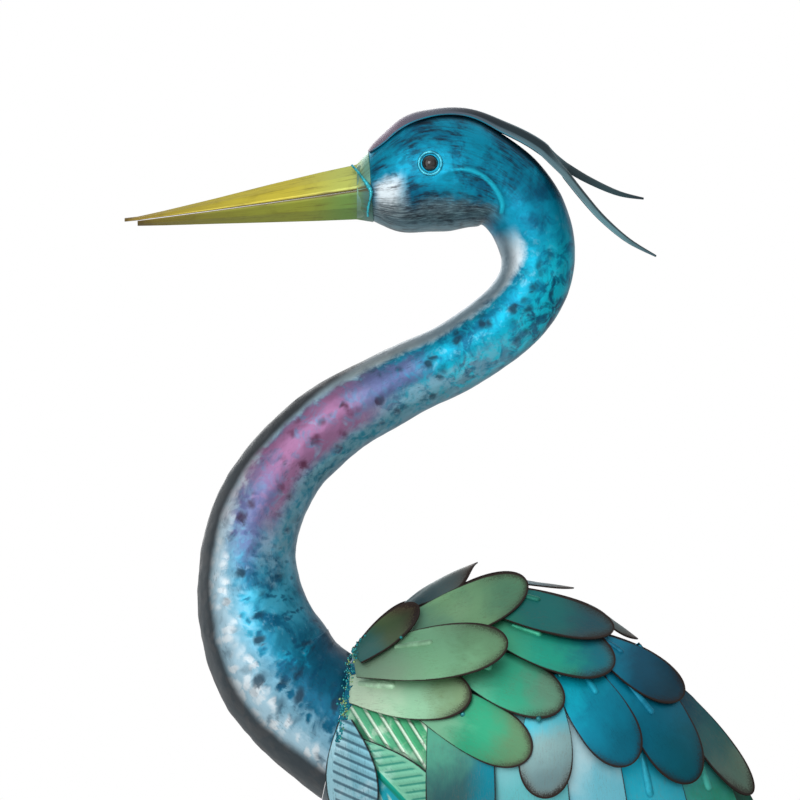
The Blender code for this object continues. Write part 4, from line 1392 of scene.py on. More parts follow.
@dataclass
class Ridge:
    """The plates along the back and the tail.

    Attributes:
        maker: Writes the pieces.
        columns: Faces across a plate.
        rows: Faces along a plate.
        quill_rise: How high the pressed quill stands.
        quill_half: Its half width.
    """

    maker: Maker
    columns: int = 36
    rows: int = 40
    quill_rise: float = 0.0011
    quill_half: float = 0.0026

    def lift(self, feather: RidgeFeather) -> float:
        """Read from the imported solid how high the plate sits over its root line."""
        total = 0.0
        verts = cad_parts[feather.name].data.vertices
        for vert in verts:
            offset = vert.co - feather.start
            total += offset.dot(feather.over) + feather.arch * vert.co.y ** 2 / feather.half
        return total / len(verts)

    def plate(self, feather: RidgeFeather, seed: float) -> None:
        """Build one plate.

        Args:
            feather: The plate.
            seed: Shifts its pattern.
        """
        rise = self.lift(feather)

        def place(s: float, t: float) -> Vector:
            """Return the plate's surface point."""
            share = even_share(t)
            side = feather.outline(share) * (2.0 * s - 1.0)
            quill = self.quill_rise * math.exp(-(side / self.quill_half) ** 2) * ease(share, 0.55, 0.2)
            bow = feather.bow * GRID * math.sin(math.pi * share)
            drop = feather.over * (rise - feather.arch * side * side / feather.half + quill + bow)
            return feather.start + feather.run * share + drop + Vector((0.0, side, 0.0))

        bm = laid_grid(self.columns, self.rows, place)
        spread(bm, sheet_attributes(feather, seed))
        turn_out(bm, lambda face: face.normal.dot(feather.over))
        name = feather.name
        item = self.maker.piece("plate_" + name, bm, feather.paint, feather.slot, [name], False)
        thicken(item, PLATE_THICKNESS, 0.0)

    def build(self) -> None:
        """Build the back plates and the tail."""
        grey = PlatePaint("lacquer_grey", tint(46, 74, 80), tint(78, 96, 98), tint(78, 82, 80), smoke=0.7)
        slate = PlatePaint("lacquer_slate", tint(16, 78, 92), tint(48, 80, 90), tint(52, 62, 66), smoke=0.8)
        back = "back_paint"
        table = (
            RidgeFeather("back_feather_4", (680, 688), (722, 731), 34, 0.60, slate, back, arch=0.20),
            RidgeFeather("back_feather_3", (588, 606), (638, 639), 44, 0.60, grey, back, arch=0.30),
            RidgeFeather("back_feather_2", (504, 581), (574, 588), 36, 0.60, slate, back, arch=0.16),
            RidgeFeather("back_feather_1", (402, 608), (478, 563), 52, 0.50, grey, back,
                         taper=0.9, arch=0.68, bow=5.0),
            RidgeFeather("tail", (752, 826), (905, 1000), 112, 0.46, slate, back, arch=0.30),
        )
        for index, feather in enumerate(table):
            self.plate(feather, 60.0 + 5.0 * index)


@dataclass
class Neck:
    """Head and neck in one skin, with the ridge round the cheek, the eye rings and the eyes.

    Attributes:
        maker: Writes the pieces.
        tube: The form.
        around: Faces round a section.
        rows: Faces along the tube.
        dent: Depth of the hammer marks.
        eye: The eye's place on the drawing grid.
        ring: The eye ring's radius and the radius of its wire.
        cheek: The line of the cheek's ridge on the drawing grid.
        cheek_rise: How high the ridge stands.
        cheek_half: Its half width.
        sunk: How far the skin lies under the solid's.
        girth: The radius that a turn round the neck counts with in the lacquer.
    """

    maker: Maker
    tube: Tube
    around: int = 128
    rows: int = 520
    dent: float = 0.0007
    eye: tuple[float, float] = (430, 164)
    cheek: tuple[tuple[float, float], ...] = (
        (442, 175), (452, 171), (464, 170), (476, 173), (488, 181), (497, 192), (502, 204), (501, 213),
    )
    cheek_rise: float = 0.0019
    cheek_half: float = 0.0022
    ring: tuple[float, float] = (0.0084, 0.0013)
    sunk: float = 0.0004
    girth: float = 0.028

    def __post_init__(self) -> None:
        """Lay out the ridge round the cheek."""
        self.line = [at(*row) for row in smooth_rows(self.cheek, 8)]
        shares = [index / (len(self.line) - 1) for index in range(len(self.line))]
        self.strength = [ease(share, -0.25, 0.55) * ease(share, 1.12, 0.92) for share in shares]

    def cheek_at(self, point: Vector) -> float:
        """Return how strong the cheek's ridge is at a point, 0 to 1."""
        low, high = at(436, 220), at(508, 162)
        if not (low.x < point.x < high.x and low.z < point.z < high.z):
            return 0.0
        best = 0.0
        for spot, strength in zip(self.line, self.strength):
            away = ((spot.x - point.x) ** 2 + (spot.z - point.z) ** 2) / self.cheek_half ** 2
            best = max(best, strength * math.exp(-away))
        return best

    def dent_at(self, point: Vector, along: float) -> float:
        """Return how far the skin is hammered in at a point, deeper toward the body."""
        size = 0.45 + 0.9 * ease(along, 0.25, 0.55)
        coarse = noise.noise(point * 62.0) * 0.6 + noise.noise(point * 130.0) * 0.4
        return self.dent * size * coarse * ease(along, 0.012, 0.05)

    def build_skin(self) -> None:
        """Build the skin, closed round and at both ends."""
        tube = self.tube

        def place(s: float, t: float) -> Vector:
            """Return the skin's surface point."""
            angle = 2.0 * math.pi * (s % 1.0)
            spot = tube.point(t, angle)
            lift = self.dent_at(spot, tube.along(t)) + self.cheek_rise * self.cheek_at(spot)
            return tube.point(t, angle, lift - self.sunk)

        bm = laid_grid(self.around, self.rows, place)
        spread(bm, {
            "along": lambda s, t: tube.along(t),
            "front": lambda s, t: math.cos(2.0 * math.pi * s),
            "around": lambda s, t: self.girth * math.asin(math.cos(2.0 * math.pi * s)),
            "cheek": lambda s, t: self.cheek_at(tube.point(t, 2.0 * math.pi * s)),
        })
        close_skin(bm)
        self.maker.piece("neck_skin", bm, NeckPaint(), "neck_paint", ["head_neck"])

    def build_rings(self) -> None:
        """Lay the wire ring round each eye."""
        rim = WirePaint("rim_cyan", tint(0, 124, 152), tint(70, 190, 214))
        radius, wire = self.ring
        steps = 48
        for side in Side:
            ring = []
            for step in range(steps + 1):
                angle = 2.0 * math.pi * step / steps
                spot = at(*self.eye) + Vector((math.cos(angle), 0.0, math.sin(angle))) * radius
                ring.append(Vector((spot.x, side.value * (self.tube.side_at(spot) - 0.0001), spot.z)))
            bm = swept(ring, [wire] * len(ring), 12)
            self.maker.piece("eye_ring" + side.word, bm, rim, "neck_paint", [])

    def build_eyes(self) -> None:
        """Set a glossy bead in each eye."""
        for side in Side:
            low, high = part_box("eye" + side.word)
            centre = (low + high) / 2
            radius = (high.x - low.x) / 2
            bm = bmesh.new()
            bmesh.ops.create_uvsphere(
                bm, u_segments=40, v_segments=24, radius=radius,
                matrix=Matrix.Translation(centre) @ Matrix.Rotation(math.radians(90), 4, "X"))
            self.maker.piece("bead_eye" + side.word, bm, BeadBlack(), "eye_glass", ["eye" + side.word])

    def build(self) -> None:
        """Build head and neck."""
        self.build_skin()
        self.build_rings()
        self.build_eyes()


@dataclass(frozen=True)
class QuillPaint:
    """A plate's own lacquer on its raised quill, brushed and a little cloudy."""

    name: str
    dark: RGB
    bright: RGB

    def make(self) -> bpy.types.Material:
        """Build the material."""
        shader = Shader(self.name)
        place = shader.place()
        clouds = shader.noise(place, 120.0, 4.0, 0.65)
        grit = shader.noise(place, 700.0, 2.0, 0.7)
        paint = shader.mix(clouds.step(0.35, 0.65), self.dark, self.bright)
        paint = shader.mix(grit.step(0.52, 0.70) * 0.3, paint, self.dark)
        bumps = ((clouds, 0.2, 0.0004), (grit, 0.1, 0.0002))
        return shader.dress(paint, 0.46 + grit * 0.10, 0.45, bumps, 0.03, 0.3)


@dataclass(frozen=True)
class WirePaint:
    """Bright lacquer on welded wire, mottled darker in cloudy patches."""

    name: str
    dark: RGB
    bright: RGB

    def make(self) -> bpy.types.Material:
        """Build the material."""
        shader = Shader(self.name)
        place = shader.place()
        clouds = shader.noise(place, 160.0, 3.0, 0.6)
        paint = shader.mix(clouds.step(0.35, 0.65), self.dark, self.bright)
        return shader.dress(paint, 0.25 + clouds * 0.15, 0.6, ((clouds, 0.25, 0.0005),), 0.4, 0.1)


def close_skin(bm: bmesh.types.BMesh) -> None:
    """Join a skin's seam and close both its ends."""
    bmesh.ops.remove_doubles(bm, verts=bm.verts, dist=CLOSE)
    bmesh.ops.holes_fill(bm, edges=[edge for edge in bm.edges if edge.is_boundary], sides=0)


def swept(points: Sequence[Vector], radii: Sequence[float], sides: int) -> bmesh.types.BMesh:
    """Sweep a round section along a line, closed to a ring if it ends where it starts.

    Args:
        points: The middle line.
        radii: The radius at each point.
        sides: Faces round the section.

    Returns:
        The closed form.
    """
    bm = bmesh.new()
    looped = (points[0] - points[-1]).length < CLOSE
    last = len(points) - 1
    normal = None
    rings: list[list[bmesh.types.BMEdge]] = []
    for index, (point, radius) in enumerate(zip(points, radii)):
        if looped and index == last:
            break
        before = points[index - 1] if index > 0 else (points[last - 1] if looped else points[0])
        after = points[index + 1] if index < last else points[last]
        way = (after - before).normalized()
        if normal is None:
            normal = way.orthogonal()
        normal = (normal - way * normal.dot(way)).normalized()
        side = way.cross(normal)
        turn = Matrix((normal, side, way)).transposed().to_4x4()
        made = bmesh.ops.create_circle(
            bm, cap_ends=False, segments=sides, radius=radius, matrix=Matrix.Translation(point) @ turn)
        rings.append(list({edge for vert in made["verts"] for edge in vert.link_edges}))
    for near, far in zip(rings, rings[1:]):
        bmesh.ops.bridge_loops(bm, edges=near + far)
    if looped:
        bmesh.ops.bridge_loops(bm, edges=rings[-1] + rings[0])
    else:
        bmesh.ops.holes_fill(bm, edges=rings[0] + rings[-1], sides=0)
    return bm


@dataclass
class Body:
    """The egg-shaped body under the plates.

    Attributes:
        maker: Writes the piece.
        tube: The form.
        around: Faces round a section.
        rows: Faces along it.
        gap: The gap to the neck at the seam.
        sunk: How far the skin lies under the solid's.
        dent: Depth of the hammer marks.
    """

    maker: Maker
    tube: Tube
    around: int = 96
    rows: int = 150
    gap: float = 0.0003
    sunk: float = 0.0006
    dent: float = 0.0006

    def build(self) -> None:
        """Build the body, closed at both ends."""
        tube = self.tube
        shift = SEAM_DIRECTION.normalized() * self.gap

        def place(s: float, t: float) -> Vector:
            """Return the skin's surface point."""
            angle = 2.0 * math.pi * (s % 1.0)
            flat = tube.point(t, angle)
            dent = self.dent * noise.noise(flat * 70.0) * ease(t, 0.0, 0.04)
            return tube.point(t, angle, dent - self.sunk * ease(t, 0.0, 0.05)) + shift

        bm = laid_grid(self.around, self.rows, place)
        spread(bm, {"share": lambda s, t: t, "front": lambda s, t: math.cos(2.0 * math.pi * s)})
        close_skin(bm)
        self.maker.piece("body_skin", bm, BodyPaint(), "body_paint", ["body"])


@dataclass(frozen=True)
class BodyPaint:
    """Dark teal lacquer, painted dark as the shade seen between the plates, with brown specks and the neck's
    colours at the seam.
    """

    name: str = "body_lacquer"

    def make(self) -> bpy.types.Material:
        """Build the material."""
        shader = Shader(self.name)
        place = shader.place()
        clouds = shader.noise(place, 24.0, 4.0, 0.6, 0.5)
        dents = shader.cells(place, 70.0)
        grit = shader.noise(place, 380.0, 2.0, 0.6)
        share, front = shader.attributes("share", "front")
        # The dark ramp is painted shade for the body where it shows between the plates
        stops = ((0.32, tint(12, 48, 58)), (0.50, tint(10, 92, 106)), (0.68, tint(58, 128, 128)))
        joined = (share + (clouds - 0.5) * 0.04).step(0.10, 0.03)
        collar = shader.mix(front.step(-0.5, 0.0), tint(70, 84, 92), tint(0, 104, 134))
        paint = shader.coats(
            shader.ramp(clouds, stops), (grit.step(0.55, 0.75) * 0.35, (0.10, 0.08, 0.05)), (joined, collar))
        bumps = ((dents, 0.35, 0.0008), (grit, 0.15, 0.0003))
        return shader.dress(paint, 0.42 + grit * 0.15, 0.55, bumps, 0.15, 0.3)


@dataclass
class Beak:
    """The two folded sheets of the beak.

    Attributes:
        maker: Writes the pieces.
        tube: The head's form.
        stations: Column, ridge row, mouth row, keel row and half width.
        tip: The upper sheet's last section.
        lip: The share of the depth that stands upright at the mouth.
        crease: The share of the depth where the sheet folds.
        thickness: The sheet's thickness.
        gap: Half the gap of the mouth.
        flare: The share of the sheet that flares over the face.
        flare_place: How far over the head's sections the flare reaches.
        columns: Faces across a sheet.
        rows: Faces along a sheet.
        length: The length its lacquer counts with.
        fold_depth: The width of one side that its lacquer counts with.
        bead: The weld's line: column, row, share of the half width and radius in millimetres.
    """

    maker: Maker
    tube: Tube
    stations: tuple[tuple[float, ...], ...] = (
        (357, 165, 190.5, 219, 20.5), (320, 173, 196, 220.5, 18.0), (270, 185, 203, 222, 14.4),
        (215, 199, 210.5, 223.5, 10.5), (165, 211, 217, 225, 6.8), (138, 217, 220.5, 225.5, 4.4),
    )
    tip: tuple[float, ...] = (125, 218.5, 222.0, 3.2)
    lip: float = 0.14
    crease: float = 0.58
    thickness: float = 0.0012
    gap: float = 0.0003
    flare: float = 0.12
    flare_place: float = 1.42
    columns: int = 36
    rows: int = 140
    length: float = 0.19
    fold_depth: float = 0.022
    bead: tuple[tuple[float, ...], ...] = (
        (352, 165.5, 0.28, 0.8), (357, 171, 0.66, 1.0), (363, 179, 0.95, 1.1), (368, 186, 1.0, 1.7),
        (371, 192, 1.0, 1.5), (370, 200, 1.0, 0.9), (368, 209, 0.93, 1.0), (368, 217, 0.72, 0.8),
    )

    def profile(self, mouth: float, ridge: float, half: float, far: float, turn: float) -> tuple[float, float]:
        """Return a point of the folded section.

        Args:
            mouth: The mouth's row.
            ridge: The ridge's row.
            half: The half width.
            far: The width at the crease as a share.
            turn: From -1 at the left mouth edge over 0 at the ridge to 1 at the right one.

        Returns:
            The row and the side.
        """
        depth = 1.0 - abs(turn)
        stops = ((0.0, 0.0, 1.0), (0.16, self.lip, 1.0), (0.55, self.crease, far), (1.0, 1.0, 0.0))
        for (from_turn, from_row, from_side), (to_turn, to_row, to_side) in zip(stops, stops[1:]):
            if depth <= to_turn + 1e-9:
                share = (depth - from_turn) / (to_turn - from_turn)
                row = from_row + (to_row - from_row) * share
                side = from_side + (to_side - from_side) * share
                break
        return mouth + (ridge - mouth) * row, math.copysign(half * side, turn)

    def mandible(self, name: str, rows: Sequence[Sequence[float]], edge: float, far: float,
                 finish: BeakPaint) -> None:
        """Build one folded sheet.

        Args:
            name: The solid it stands for.
            rows: Column, mouth row, ridge row and half width of each section.
            edge: How far it stands off the mouth line.
            far: The width at the crease as a share.
            finish: Its finish.
        """
        last = len(rows) - 1

        def section(t: float) -> list[float]:
            """Return the section at a share of the length."""
            exact = min(t * last, last - 1e-9)
            index = int(exact)
            share = exact - index
            return [a + (b - a) * share for a, b in zip(rows[index], rows[index + 1])]

        def fold(s: float, t: float) -> Vector:
            """Return the folded sheet's point."""
            column, mouth, ridge, half = section(t)
            row, side = self.profile(mouth, ridge, half, far, 2.0 * s - 1.0)
            return at(column, row, side) + Vector((-self.gap, 0.0, edge))

        def place(s: float, t: float) -> Vector:
            """Return the sheet's surface point, spread over the face at its root."""
            if t >= self.flare:
                return fold(s, (t - self.flare) / (1.0 - self.flare))
            turn = (2.0 * s - 1.0) * math.pi * 0.495
            angle = turn if edge > 0 else math.pi - turn
            face = self.tube.point(self.flare_place / (len(HEAD_NECK) - 1), angle, 0.0004)
            share = 1.0 - t / self.flare
            return fold(s, 0.0).lerp(face, share)

        bm = laid_grid(self.columns, self.rows, place)
        spread(bm, {
            "share": lambda s, t: t,
            "along": lambda s, t: t * self.length,
            "across": lambda s, t: (1.0 - abs(2.0 * s - 1.0)) * self.fold_depth,
            "rim": lambda s, t: (1.0 - abs(2.0 * s - 1.0)) * self.fold_depth,
        })
        turn_out(bm, lambda face: face.normal.dot(face.calc_center_median() - BEAK_MIDDLE))
        item = self.maker.piece(name + "_sheet", bm, finish, "beak_paint", [name], False, 20.0)
        thicken(item, self.thickness, -1.0)

    def build(self) -> None:
        """Build both sheets."""
        upper = [(column, mouth, ridge, half) for column, ridge, mouth, _, half in self.stations]
        column, ridge, mouth, half = self.tip
        upper.append((column, mouth, ridge, half))
        lower = [(column, mouth, keel, half) for column, _, mouth, keel, half in self.stations]
        gold = BeakPaint(
            "beak_gold", tint(150, 126, 56), tint(196, 182, 62), tint(186, 194, 96), tint(112, 160, 140))
        olive = BeakPaint(
            "beak_olive", tint(120, 106, 48), tint(140, 146, 54), tint(112, 146, 74), tint(76, 116, 108))
        self.mandible("beak_upper", upper, self.gap, 0.72, gold)
        self.mandible("beak_lower", lower, -self.gap, 0.78, olive)
        self.weld()

    def weld(self) -> None:
        """Lay the weld bead that slants over each side of the beak's root."""
        face = self.tube.point(self.flare_place / (len(HEAD_NECK) - 1), math.pi / 2).y
        finish = WirePaint("weld_cyan", tint(20, 120, 140), tint(60, 190, 205))
        root_column, root_half = self.stations[0][0], self.stations[0][-1] * GRID
        for side in Side:
            points = []
            radii = []
            for column, row, side_share, radius in smooth_rows(self.bead, 6):
                half = root_half + (abs(face) - root_half) * min(max((column - root_column) / 14.0, 0.0), 1.0)
                spot = at(column, row)
                points.append(Vector((spot.x, side.value * (half * side_share + 0.0012), spot.z)))
                radii.append(radius * 0.001 * (1.0 + 0.2 * math.sin(len(points) * 2.3)))
            bm = swept(points, radii, 10)
            self.maker.piece("beak_weld" + side.word, bm, finish, "neck_paint", [])


@dataclass
class Crest:
    """The saddle over the crown, forked into two gutter plumes.

    Attributes:
        maker: Writes the piece.
        tube: The head it lies on.
        saddle: Place over the head's sections and reach to each side in radians.
        left: Column, row, side and half width along the left plume.
        right: The same along the right plume.
        thickness: The sheet's thickness.
        clearance: The gap under it.
        stations: How many stretches the head and neck have.
        lift_from: From which section on the middle and the edges of the saddle lift off.
        lift_rate: How fast they lift, in grid divisions a section.
        lift_power: How the lift grows.
        split: The share of the length that the saddle takes.
        bridge: The share of the rest that leads over to a plume.
    """

    maker: Maker
    tube: Tube
    saddle: tuple[tuple[float, float], ...] = (
        (1.45, 0.34), (1.7, 0.50), (2.0, 0.58), (2.5, 0.61), (3.0, 0.58), (3.5, 0.57), (4.0, 0.52),
        (4.5, 0.43), (5.0, 0.35), (5.5, 0.31), (6.0, 0.29), (6.5, 0.28), (7.0, 0.26),
    )
    left: tuple[tuple[float, ...], ...] = (
        (568, 172, 13, 9.5), (585, 194, 18, 9.0), (604, 216.5, 20, 7.8), (629, 239, 19, 5.6),
        (656, 256, 15, 1.6),
    )
    right: tuple[tuple[float, ...], ...] = (
        (567, 163, 13, 9.5), (590, 177, 19, 8.0), (619, 191, 20, 5.5), (644, 198, 16, 1.6),
    )
    thickness: float = 0.0010
    clearance: float = 0.0006
    stations: int = len(HEAD_NECK) - 1
    lift_from: tuple[float, float] = (4.2, 5.8)
    lift_rate: float = 5.0
    lift_power: float = 1.2
    split: float = 0.46
    bridge: float = 0.16

    def saddle_point(self, position: float, reach: float, step: float) -> Vector:
        """Return a point over the head at a station position and a share of the reach."""
        gap = self.thickness / 2 + self.clearance
        middle, edge = (
            max(position - start, 0.0) ** self.lift_power * self.lift_rate * GRID for start in self.lift_from)
        rise = middle + (edge - middle) * step * step
        return self.tube.point(position / self.stations, reach * step, gap + rise)

    def plume_point(self, rows: Sequence[Sequence[float]], sign: int, t: float, step: float) -> Vector:
        """Return a point of a plume.

        Args:
            rows: Its smoothed sections.
            sign: Its flank.
            t: The share of its length.
            step: From -1 to 1 across it.

        Returns:
            The point.
        """
        last = len(rows) - 1
        exact = min(t * last, last - 1e-9)
        index = int(exact)
        share = exact - index
        points = []
        for near in (index, index + 1):
            column, line, side, half = rows[near]
            before, after = rows[max(near - 1, 0)], rows[min(near + 1, last)]
            run = at(after[0], after[1], sign * after[2]) - at(before[0], before[1], sign * before[2])
            run.normalize()
            up = Vector((-run.z, 0.0, run.x)).normalized()
            across = run.cross(up).normalized()
            across = across if across.y > 0 else -across
            spot = at(column, line, sign * side)
            points.append(spot + across * (half * GRID * step) - up * (half * GRID * 0.80 * step * step))
        return points[0].lerp(points[1], share)

    def build(self) -> None:
        """Build the crest as one sheet."""
        saddle = smooth_rows(self.saddle, 4)
        plumes = {-1: smooth_rows(self.left, 8), 1: smooth_rows(self.right, 8)}
        whole = bmesh.new()
        for sign in (-1, 1):
            rows = plumes[sign]

            def place(s: float, t: float) -> Vector:
                """Return the surface point of one half, saddle first and plume after."""
                split, bridge = self.split, self.bridge
                if t <= split:
                    exact = t / split * (len(saddle) - 1)
                    index = min(int(exact), len(saddle) - 2)
                    share = exact - index
                    position = saddle[index][0] * (1 - share) + saddle[index + 1][0] * share
                    reach = saddle[index][1] * (1 - share) + saddle[index + 1][1] * share
                    return self.saddle_point(position, reach, s if sign > 0 else s - 1.0)
                start = self.saddle_point(saddle[-1][0], saddle[-1][1], s if sign > 0 else s - 1.0)
                rest = (t - split) / (1.0 - split)
                step = 2.0 * s - 1.0
                if rest < bridge:
                    return start.lerp(self.plume_point(rows, sign, 0.0, step), rest / bridge)
                return self.plume_point(rows, sign, (rest - bridge) / (1.0 - bridge), step)

            bm = laid_grid(14, 110, place)
            spread(bm, {
                "share": lambda s, t: t,
                "along": lambda s, t: t * 0.24,
                "across": lambda s, t: (s if sign > 0 else s - 1.0) * 0.02,
                "rim": lambda s, t: (
                    0.016 * (1.0 - s if sign > 0 else s) if t < self.split else 0.010 * min(s, 1.0 - s)),
            })
            turn_out(bm, lambda face: face.normal.z, lambda face: face.calc_center_median().z)
            draft = bpy.data.meshes.new("crest_half")
            bm.to_mesh(draft)
            bm.free()
            whole.from_mesh(draft)
            bpy.data.meshes.remove(draft)
        bmesh.ops.remove_doubles(whole, verts=whole.verts, dist=CLOSE)
        item = self.maker.piece("crest_sheet", whole, CrestPaint(), "crest_paint", ["crest"], False)
        thicken(item, self.thickness, 0.0)


@dataclass
class Welds:
    """Lumps and drops of weld where the plates' roots meet the neck.

    Attributes:
        maker: Writes the pieces.
        lumps: How many lumps there are on a flank.
        seam: The line the lumps lie along, on the drawing grid.
        drops: Column, row and radius of the single drops.
    """

    maker: Maker
    lumps: int = 280
    seam: tuple[tuple[float, float], ...] = (
        (357, 637), (351, 652), (348, 672), (345, 694), (342, 716), (338, 738),
    )
    drops: tuple[tuple[float, float, float], ...] = (
        (462, 711, 0.0021), (537, 715, 0.0022), (558, 673, 0.0016), (401, 636, 0.0013),
    )

    def reach(self, column: float, row: float, side: Side) -> float:
        """Return how far the outermost surface stands from the middle plane."""
        spot = at(column, row)
        start, way = Vector((spot.x, side.value * 0.4, spot.z)), Vector((0.0, -side.value, 0.0))
        hit, place, *_ = bpy.context.scene.ray_cast(bpy.context.evaluated_depsgraph_get(), start, way)
        return abs(place.y) if hit else 0.0

    def lump(self, bm: bmesh.types.BMesh, column: float, row: float, side: Side, radius: float,
             flat: float) -> None:
        """Add one flattened lump, half sunk in the surface."""
        spot = at(column, row)
        out = self.reach(column, row, side)
        if out > 0.0:
            centre = Vector((spot.x, side.value * out, spot.z))
            shape = Matrix.Translation(centre) @ Matrix.Diagonal((radius, radius * flat, radius, 1.0))
            bmesh.ops.create_icosphere(bm, subdivisions=2, radius=1.0, matrix=shape)

    def build(self) -> None:
        """Build the lumps of both flanks."""
        path = smooth_rows(self.seam, 10)
        glass = WirePaint("weld_glass", tint(0, 96, 104), tint(50, 150, 150))
        for side in Side:
            chance = random.Random(17 if side is Side.LEFT else 23)
            bm = bmesh.new()
            for _ in range(self.lumps):
                column, row = path[chance.randrange(len(path))]
                column += chance.gauss(1.4, 2.3)
                row += chance.uniform(-2, 2)
                self.lump(bm, column, row, side, chance.uniform(0.0005, 0.0013), 0.55)
            self.maker.piece("seam_weld" + side.word, bm, WeldFinish(), "neck_paint", [])
            drops = bmesh.new()
            for column, row, radius in self.drops:
                self.lump(drops, column, row, side, radius, 0.6)
            self.maker.piece("weld_drops" + side.word, drops, glass, "neck_paint", [])


@dataclass
class Stand:
    """The rod legs, their feet and the low oval plate.

    Attributes:
        maker: Writes the pieces.
        floor: The top of the plate.
        toe: The toes' radius.
        spread_angle: The angle between two front toes.
        hip_out: How far a hip stands from the middle plane.
        hip_sunk: How far a leg reaches up into the body.
        toe_lengths: The lengths of the outer, middle and back toes.
    """

    maker: Maker
    floor: float = 0.0123
    toe: float = 0.0038
    spread_angle: float = math.radians(27)
    hip_out: float = 0.040
    hip_sunk: float = 0.028
    toe_lengths: tuple[float, float, float] = (0.0607, 0.066, 0.036)

    def hip(self, side: Side) -> Vector:
        """Return where a leg leaves the body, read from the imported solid."""
        return Vector((0.0, side.value * self.hip_out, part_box("leg" + side.word)[1].z - self.hip_sunk))

    def leg(self, side: Side) -> None:
        """Build a leg with its toes.

        Args:
            side: The flank.
        """
        hip = self.hip(side)
        sign = side.value
        knee = Vector((hip.x + 0.020, hip.y + sign * 0.002, 0.53 * hip.z))
        ankle = Vector((hip.x - 0.004, hip.y + sign * 0.006, self.floor + 0.030))
        foot = Vector((ankle.x - 0.003, ankle.y, self.floor + self.toe))
        thigh = hip.lerp(knee, 0.45)
        thigh.x = hip.x + 0.006
        sunk = Vector((0.0, 0.0, self.hip_sunk))
        rows = [
            (*(hip + sunk), 0.0100), (*hip, 0.0100), (*(hip - sunk), 0.0099),
            (*hip.lerp(thigh, 0.6), 0.0082), (*thigh, 0.0071), (*knee.lerp(thigh, 0.20), 0.0062),
            (*knee, 0.0094), (*knee.lerp(ankle, 0.10), 0.0062), (*knee.lerp(ankle, 0.5), 0.0059),
            (*ankle, 0.0062), (*foot, 0.0062),
        ]
        line = smooth_rows(rows, 14)
        count = len(line) - 1
        points, radii = [], []
        for index, row in enumerate(line):
            points.append(Vector(row[:3]))
            ring = 0.00022 * math.sin(index * 1.9) if index > 0.45 * count else 0.0
            radii.append(row[3] + ring)
        bm = swept(points, radii, 28)
        bronze = StandMetal("leg_bronze")
        self.maker.piece("leg_rod" + side.word, bm, bronze, "stand_metal", ["leg" + side.word])
        outer, middle, back = self.toe_lengths
        toes = (("inner", math.pi - self.spread_angle, outer), ("middle", math.pi, middle),
                ("outer", math.pi + self.spread_angle, outer), ("back", 0.0, back))
        for toe, angle, length in toes:
            run = Vector((math.cos(angle), sign * -math.sin(angle), 0.0))
            start = Vector((foot.x, foot.y, self.floor + self.toe * 1.5)) - run * 0.002
            arch = foot + run * (0.45 * length) + Vector((0.0, 0.0, self.toe * 0.6))
            claw = foot + run * length
            claw.z = self.floor + self.toe * 0.55
            stops = [(*start, self.toe), (*arch, self.toe * 0.92), (*arch.lerp(claw, 0.6), self.toe * 0.75),
                     (*claw, self.toe * 0.34)]
            line = smooth_rows(stops, 12)
            radii = [row[3] * (1.0 + 0.09 * math.sin(index * 1.15)) for index, row in enumerate(line)]
            bm = swept([Vector(row[:3]) for row in line], radii, 20)
            self.maker.piece("toe_" + toe + side.word, bm, bronze, "stand_metal", [])

    def plate(self) -> None:
        """Build the oval plate with its rounded edge."""
        low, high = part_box("base")
        bm = bmesh.new()
        depth = high.z - low.z
        shape = Matrix.Translation((0.0, 0.0, depth / 2)) @ Matrix.Diagonal((high.x, high.y, 1.0, 1.0))
        bmesh.ops.create_cone(
            bm, cap_ends=True, segments=160, radius1=1.0, radius2=1.0, depth=depth, matrix=shape)
        for height, offset, segments in ((depth, 0.004, 6), (0.0, 0.0008, 2)):
            rim = [edge for edge in bm.edges if all(abs(vert.co.z - height) < CLOSE for vert in edge.verts)]
            bmesh.ops.bevel(
                bm, geom=rim, offset=offset, segments=segments, profile=0.5, affect="EDGES", material=-1)
        self.maker.piece("base_plate", bm, StandMetal("base_bronze", lumps=0.0009), "stand_metal", ["base"])

    def build(self) -> None:
        """Build the stand."""
        self.plate()
        for side in Side:
            self.leg(side)


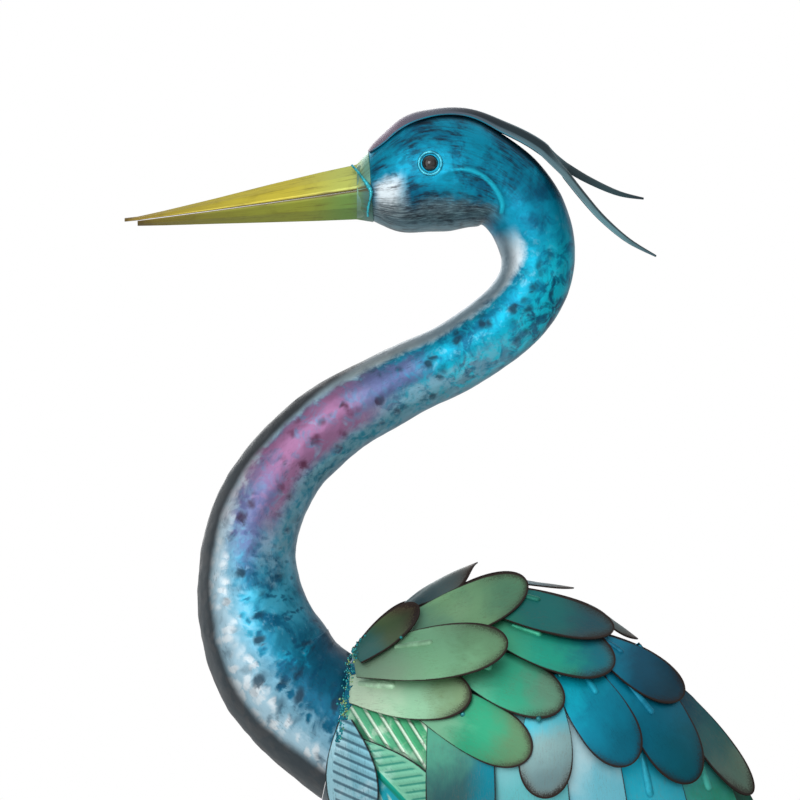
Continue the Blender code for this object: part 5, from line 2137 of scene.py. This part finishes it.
@dataclass
class Studio:
    """The floor, the soft light and the camera at the photograph's angle.

    Attributes:
        distance: How far the camera stands, far enough that the side view stays undistorted.
        field: The width of the view at the bird.
        sensor: The camera's sensor width in millimetres.
    """

    distance: float = 10.0
    field: float = PHOTO_WIDTH * GRID
    sensor: float = 36.0

    def floor(self) -> None:
        """Lay a round pale floor."""
        bm = bmesh.new()
        bmesh.ops.create_circle(bm, cap_ends=True, segments=128, radius=1.2)
        mesh = bpy.data.meshes.new("studio_floor")
        bm.to_mesh(mesh)
        bm.free()
        item = bpy.data.objects.new("studio_floor", mesh)
        bpy.context.scene.collection.objects.link(item)
        shader = Shader("studio_floor")
        clouds = shader.noise(shader.place(), 6.0, 3.0, 0.5)
        paint = shader.mix(clouds, (0.78, 0.78, 0.77), (0.84, 0.84, 0.83))
        mesh.materials.append(shader.dress(paint, 0.6, 0.0))

    def world(self) -> None:
        """Hang soft boxes round the bird, seen in its lacquer only, before a plain white ground."""
        world = bpy.data.worlds.new("studio")
        bpy.context.scene.world = world
        world.use_nodes = True
        graph = Graph(world.node_tree)
        graph.tree.nodes.clear()
        split = graph.tree.nodes.new("ShaderNodeSeparateXYZ")
        graph.feed(split.inputs[0], graph.node("ShaderNodeTexCoord", output="Generated"))
        x, y, z = (Wire(graph, socket) for socket in split.outputs)
        flank = abs(y)
        facing = flank.step(0.35, 1.0, (0.0, 0.74))
        strip = (-x).step(0.42, 0.72) * flank.step(0.30, 0.52, (0.0, 1.35))
        back_strip = x.step(0.55, 0.80) * flank.step(0.30, 0.50, (0.0, 0.35))
        top = z.step(0.35, 0.95, (0.0, 0.7))
        strength = facing + 0.26 + (strip + back_strip) + top
        light = graph.node("ShaderNodeBackground", {"Strength": strength})
        ground = graph.node("ShaderNodeBackground", {"Color": (1.0, 1.0, 1.0)})
        ray = graph.node("ShaderNodeLightPath", output="Is Camera Ray")
        out = graph.tree.nodes.new("ShaderNodeOutputWorld")
        graph.feed(out.inputs[0], graph.node("ShaderNodeMixShader", {0: ray, 1: light, 2: ground}))

    def lamp(self, name: str, place: Vector, target: Vector, size: float, power: float) -> None:
        """Add a soft area light aimed at a point."""
        data = bpy.data.lights.new(name, "AREA")
        data.size = size
        data.energy = power
        item = bpy.data.objects.new(name, data)
        item.location = place
        item.rotation_euler = (target - place).to_track_quat("-Z", "Y").to_euler()
        bpy.context.scene.collection.objects.link(item)

    def camera(self) -> None:
        """Set the camera square to the left flank, the crown and wing filling its view."""
        data = bpy.data.cameras.new("camera")
        data.sensor_width = self.sensor
        data.lens = self.sensor * self.distance / self.field
        data.clip_end = 60.0
        middle = at(*PHOTO_CENTRE)
        item = bpy.data.objects.new("camera", data)
        item.location = Vector((middle.x, -self.distance, middle.z))
        item.rotation_euler = (math.radians(90), 0.0, 0.0)
        bpy.context.scene.collection.objects.link(item)
        bpy.context.scene.camera = item

    def build(self) -> None:
        """Set up the studio."""
        self.floor()
        self.world()
        middle = Vector((-0.05, 0.0, 0.70))
        self.lamp("key", Vector((-0.7, -2.5, 1.5)), middle, 1.5, 24.0)
        self.lamp("far_key", Vector((-0.7, 2.5, 1.5)), middle, 1.5, 20.0)
        self.camera()
        bpy.context.scene.view_settings.view_transform = "Standard"


def main() -> None:
    """Build the statue piece by piece."""
    logging.basicConfig(level=logging.INFO, format="%(message)s")
    maker = Maker()
    neck = Tube(HEAD_NECK, 10, Vector((1.0, 0.0, 0.0)), SEAM_DIRECTION)
    body = Tube(BODY_FRONT + BODY_END, 8, SEAM_DIRECTION)
    shell = Tube(BODY_FRONT + SHELL_END, 6, SEAM_DIRECTION)
    LOG.info("studio")
    Studio().build()
    LOG.info("body")
    Body(maker, body).build()
    LOG.info("neck")
    Neck(maker, neck).build()
    LOG.info("beak")
    Beak(maker, neck).build()
    LOG.info("crest")
    Crest(maker, neck).build()
    LOG.info("plumage")
    Plumage(maker, Layer(shell), plumage_table()).build()
    Ridge(maker).build()
    Welds(maker).build()
    LOG.info("stand")
    Stand(maker).build()
    LOG.info("%d pieces", maker.count)


if __name__ == "__main__":
    main()
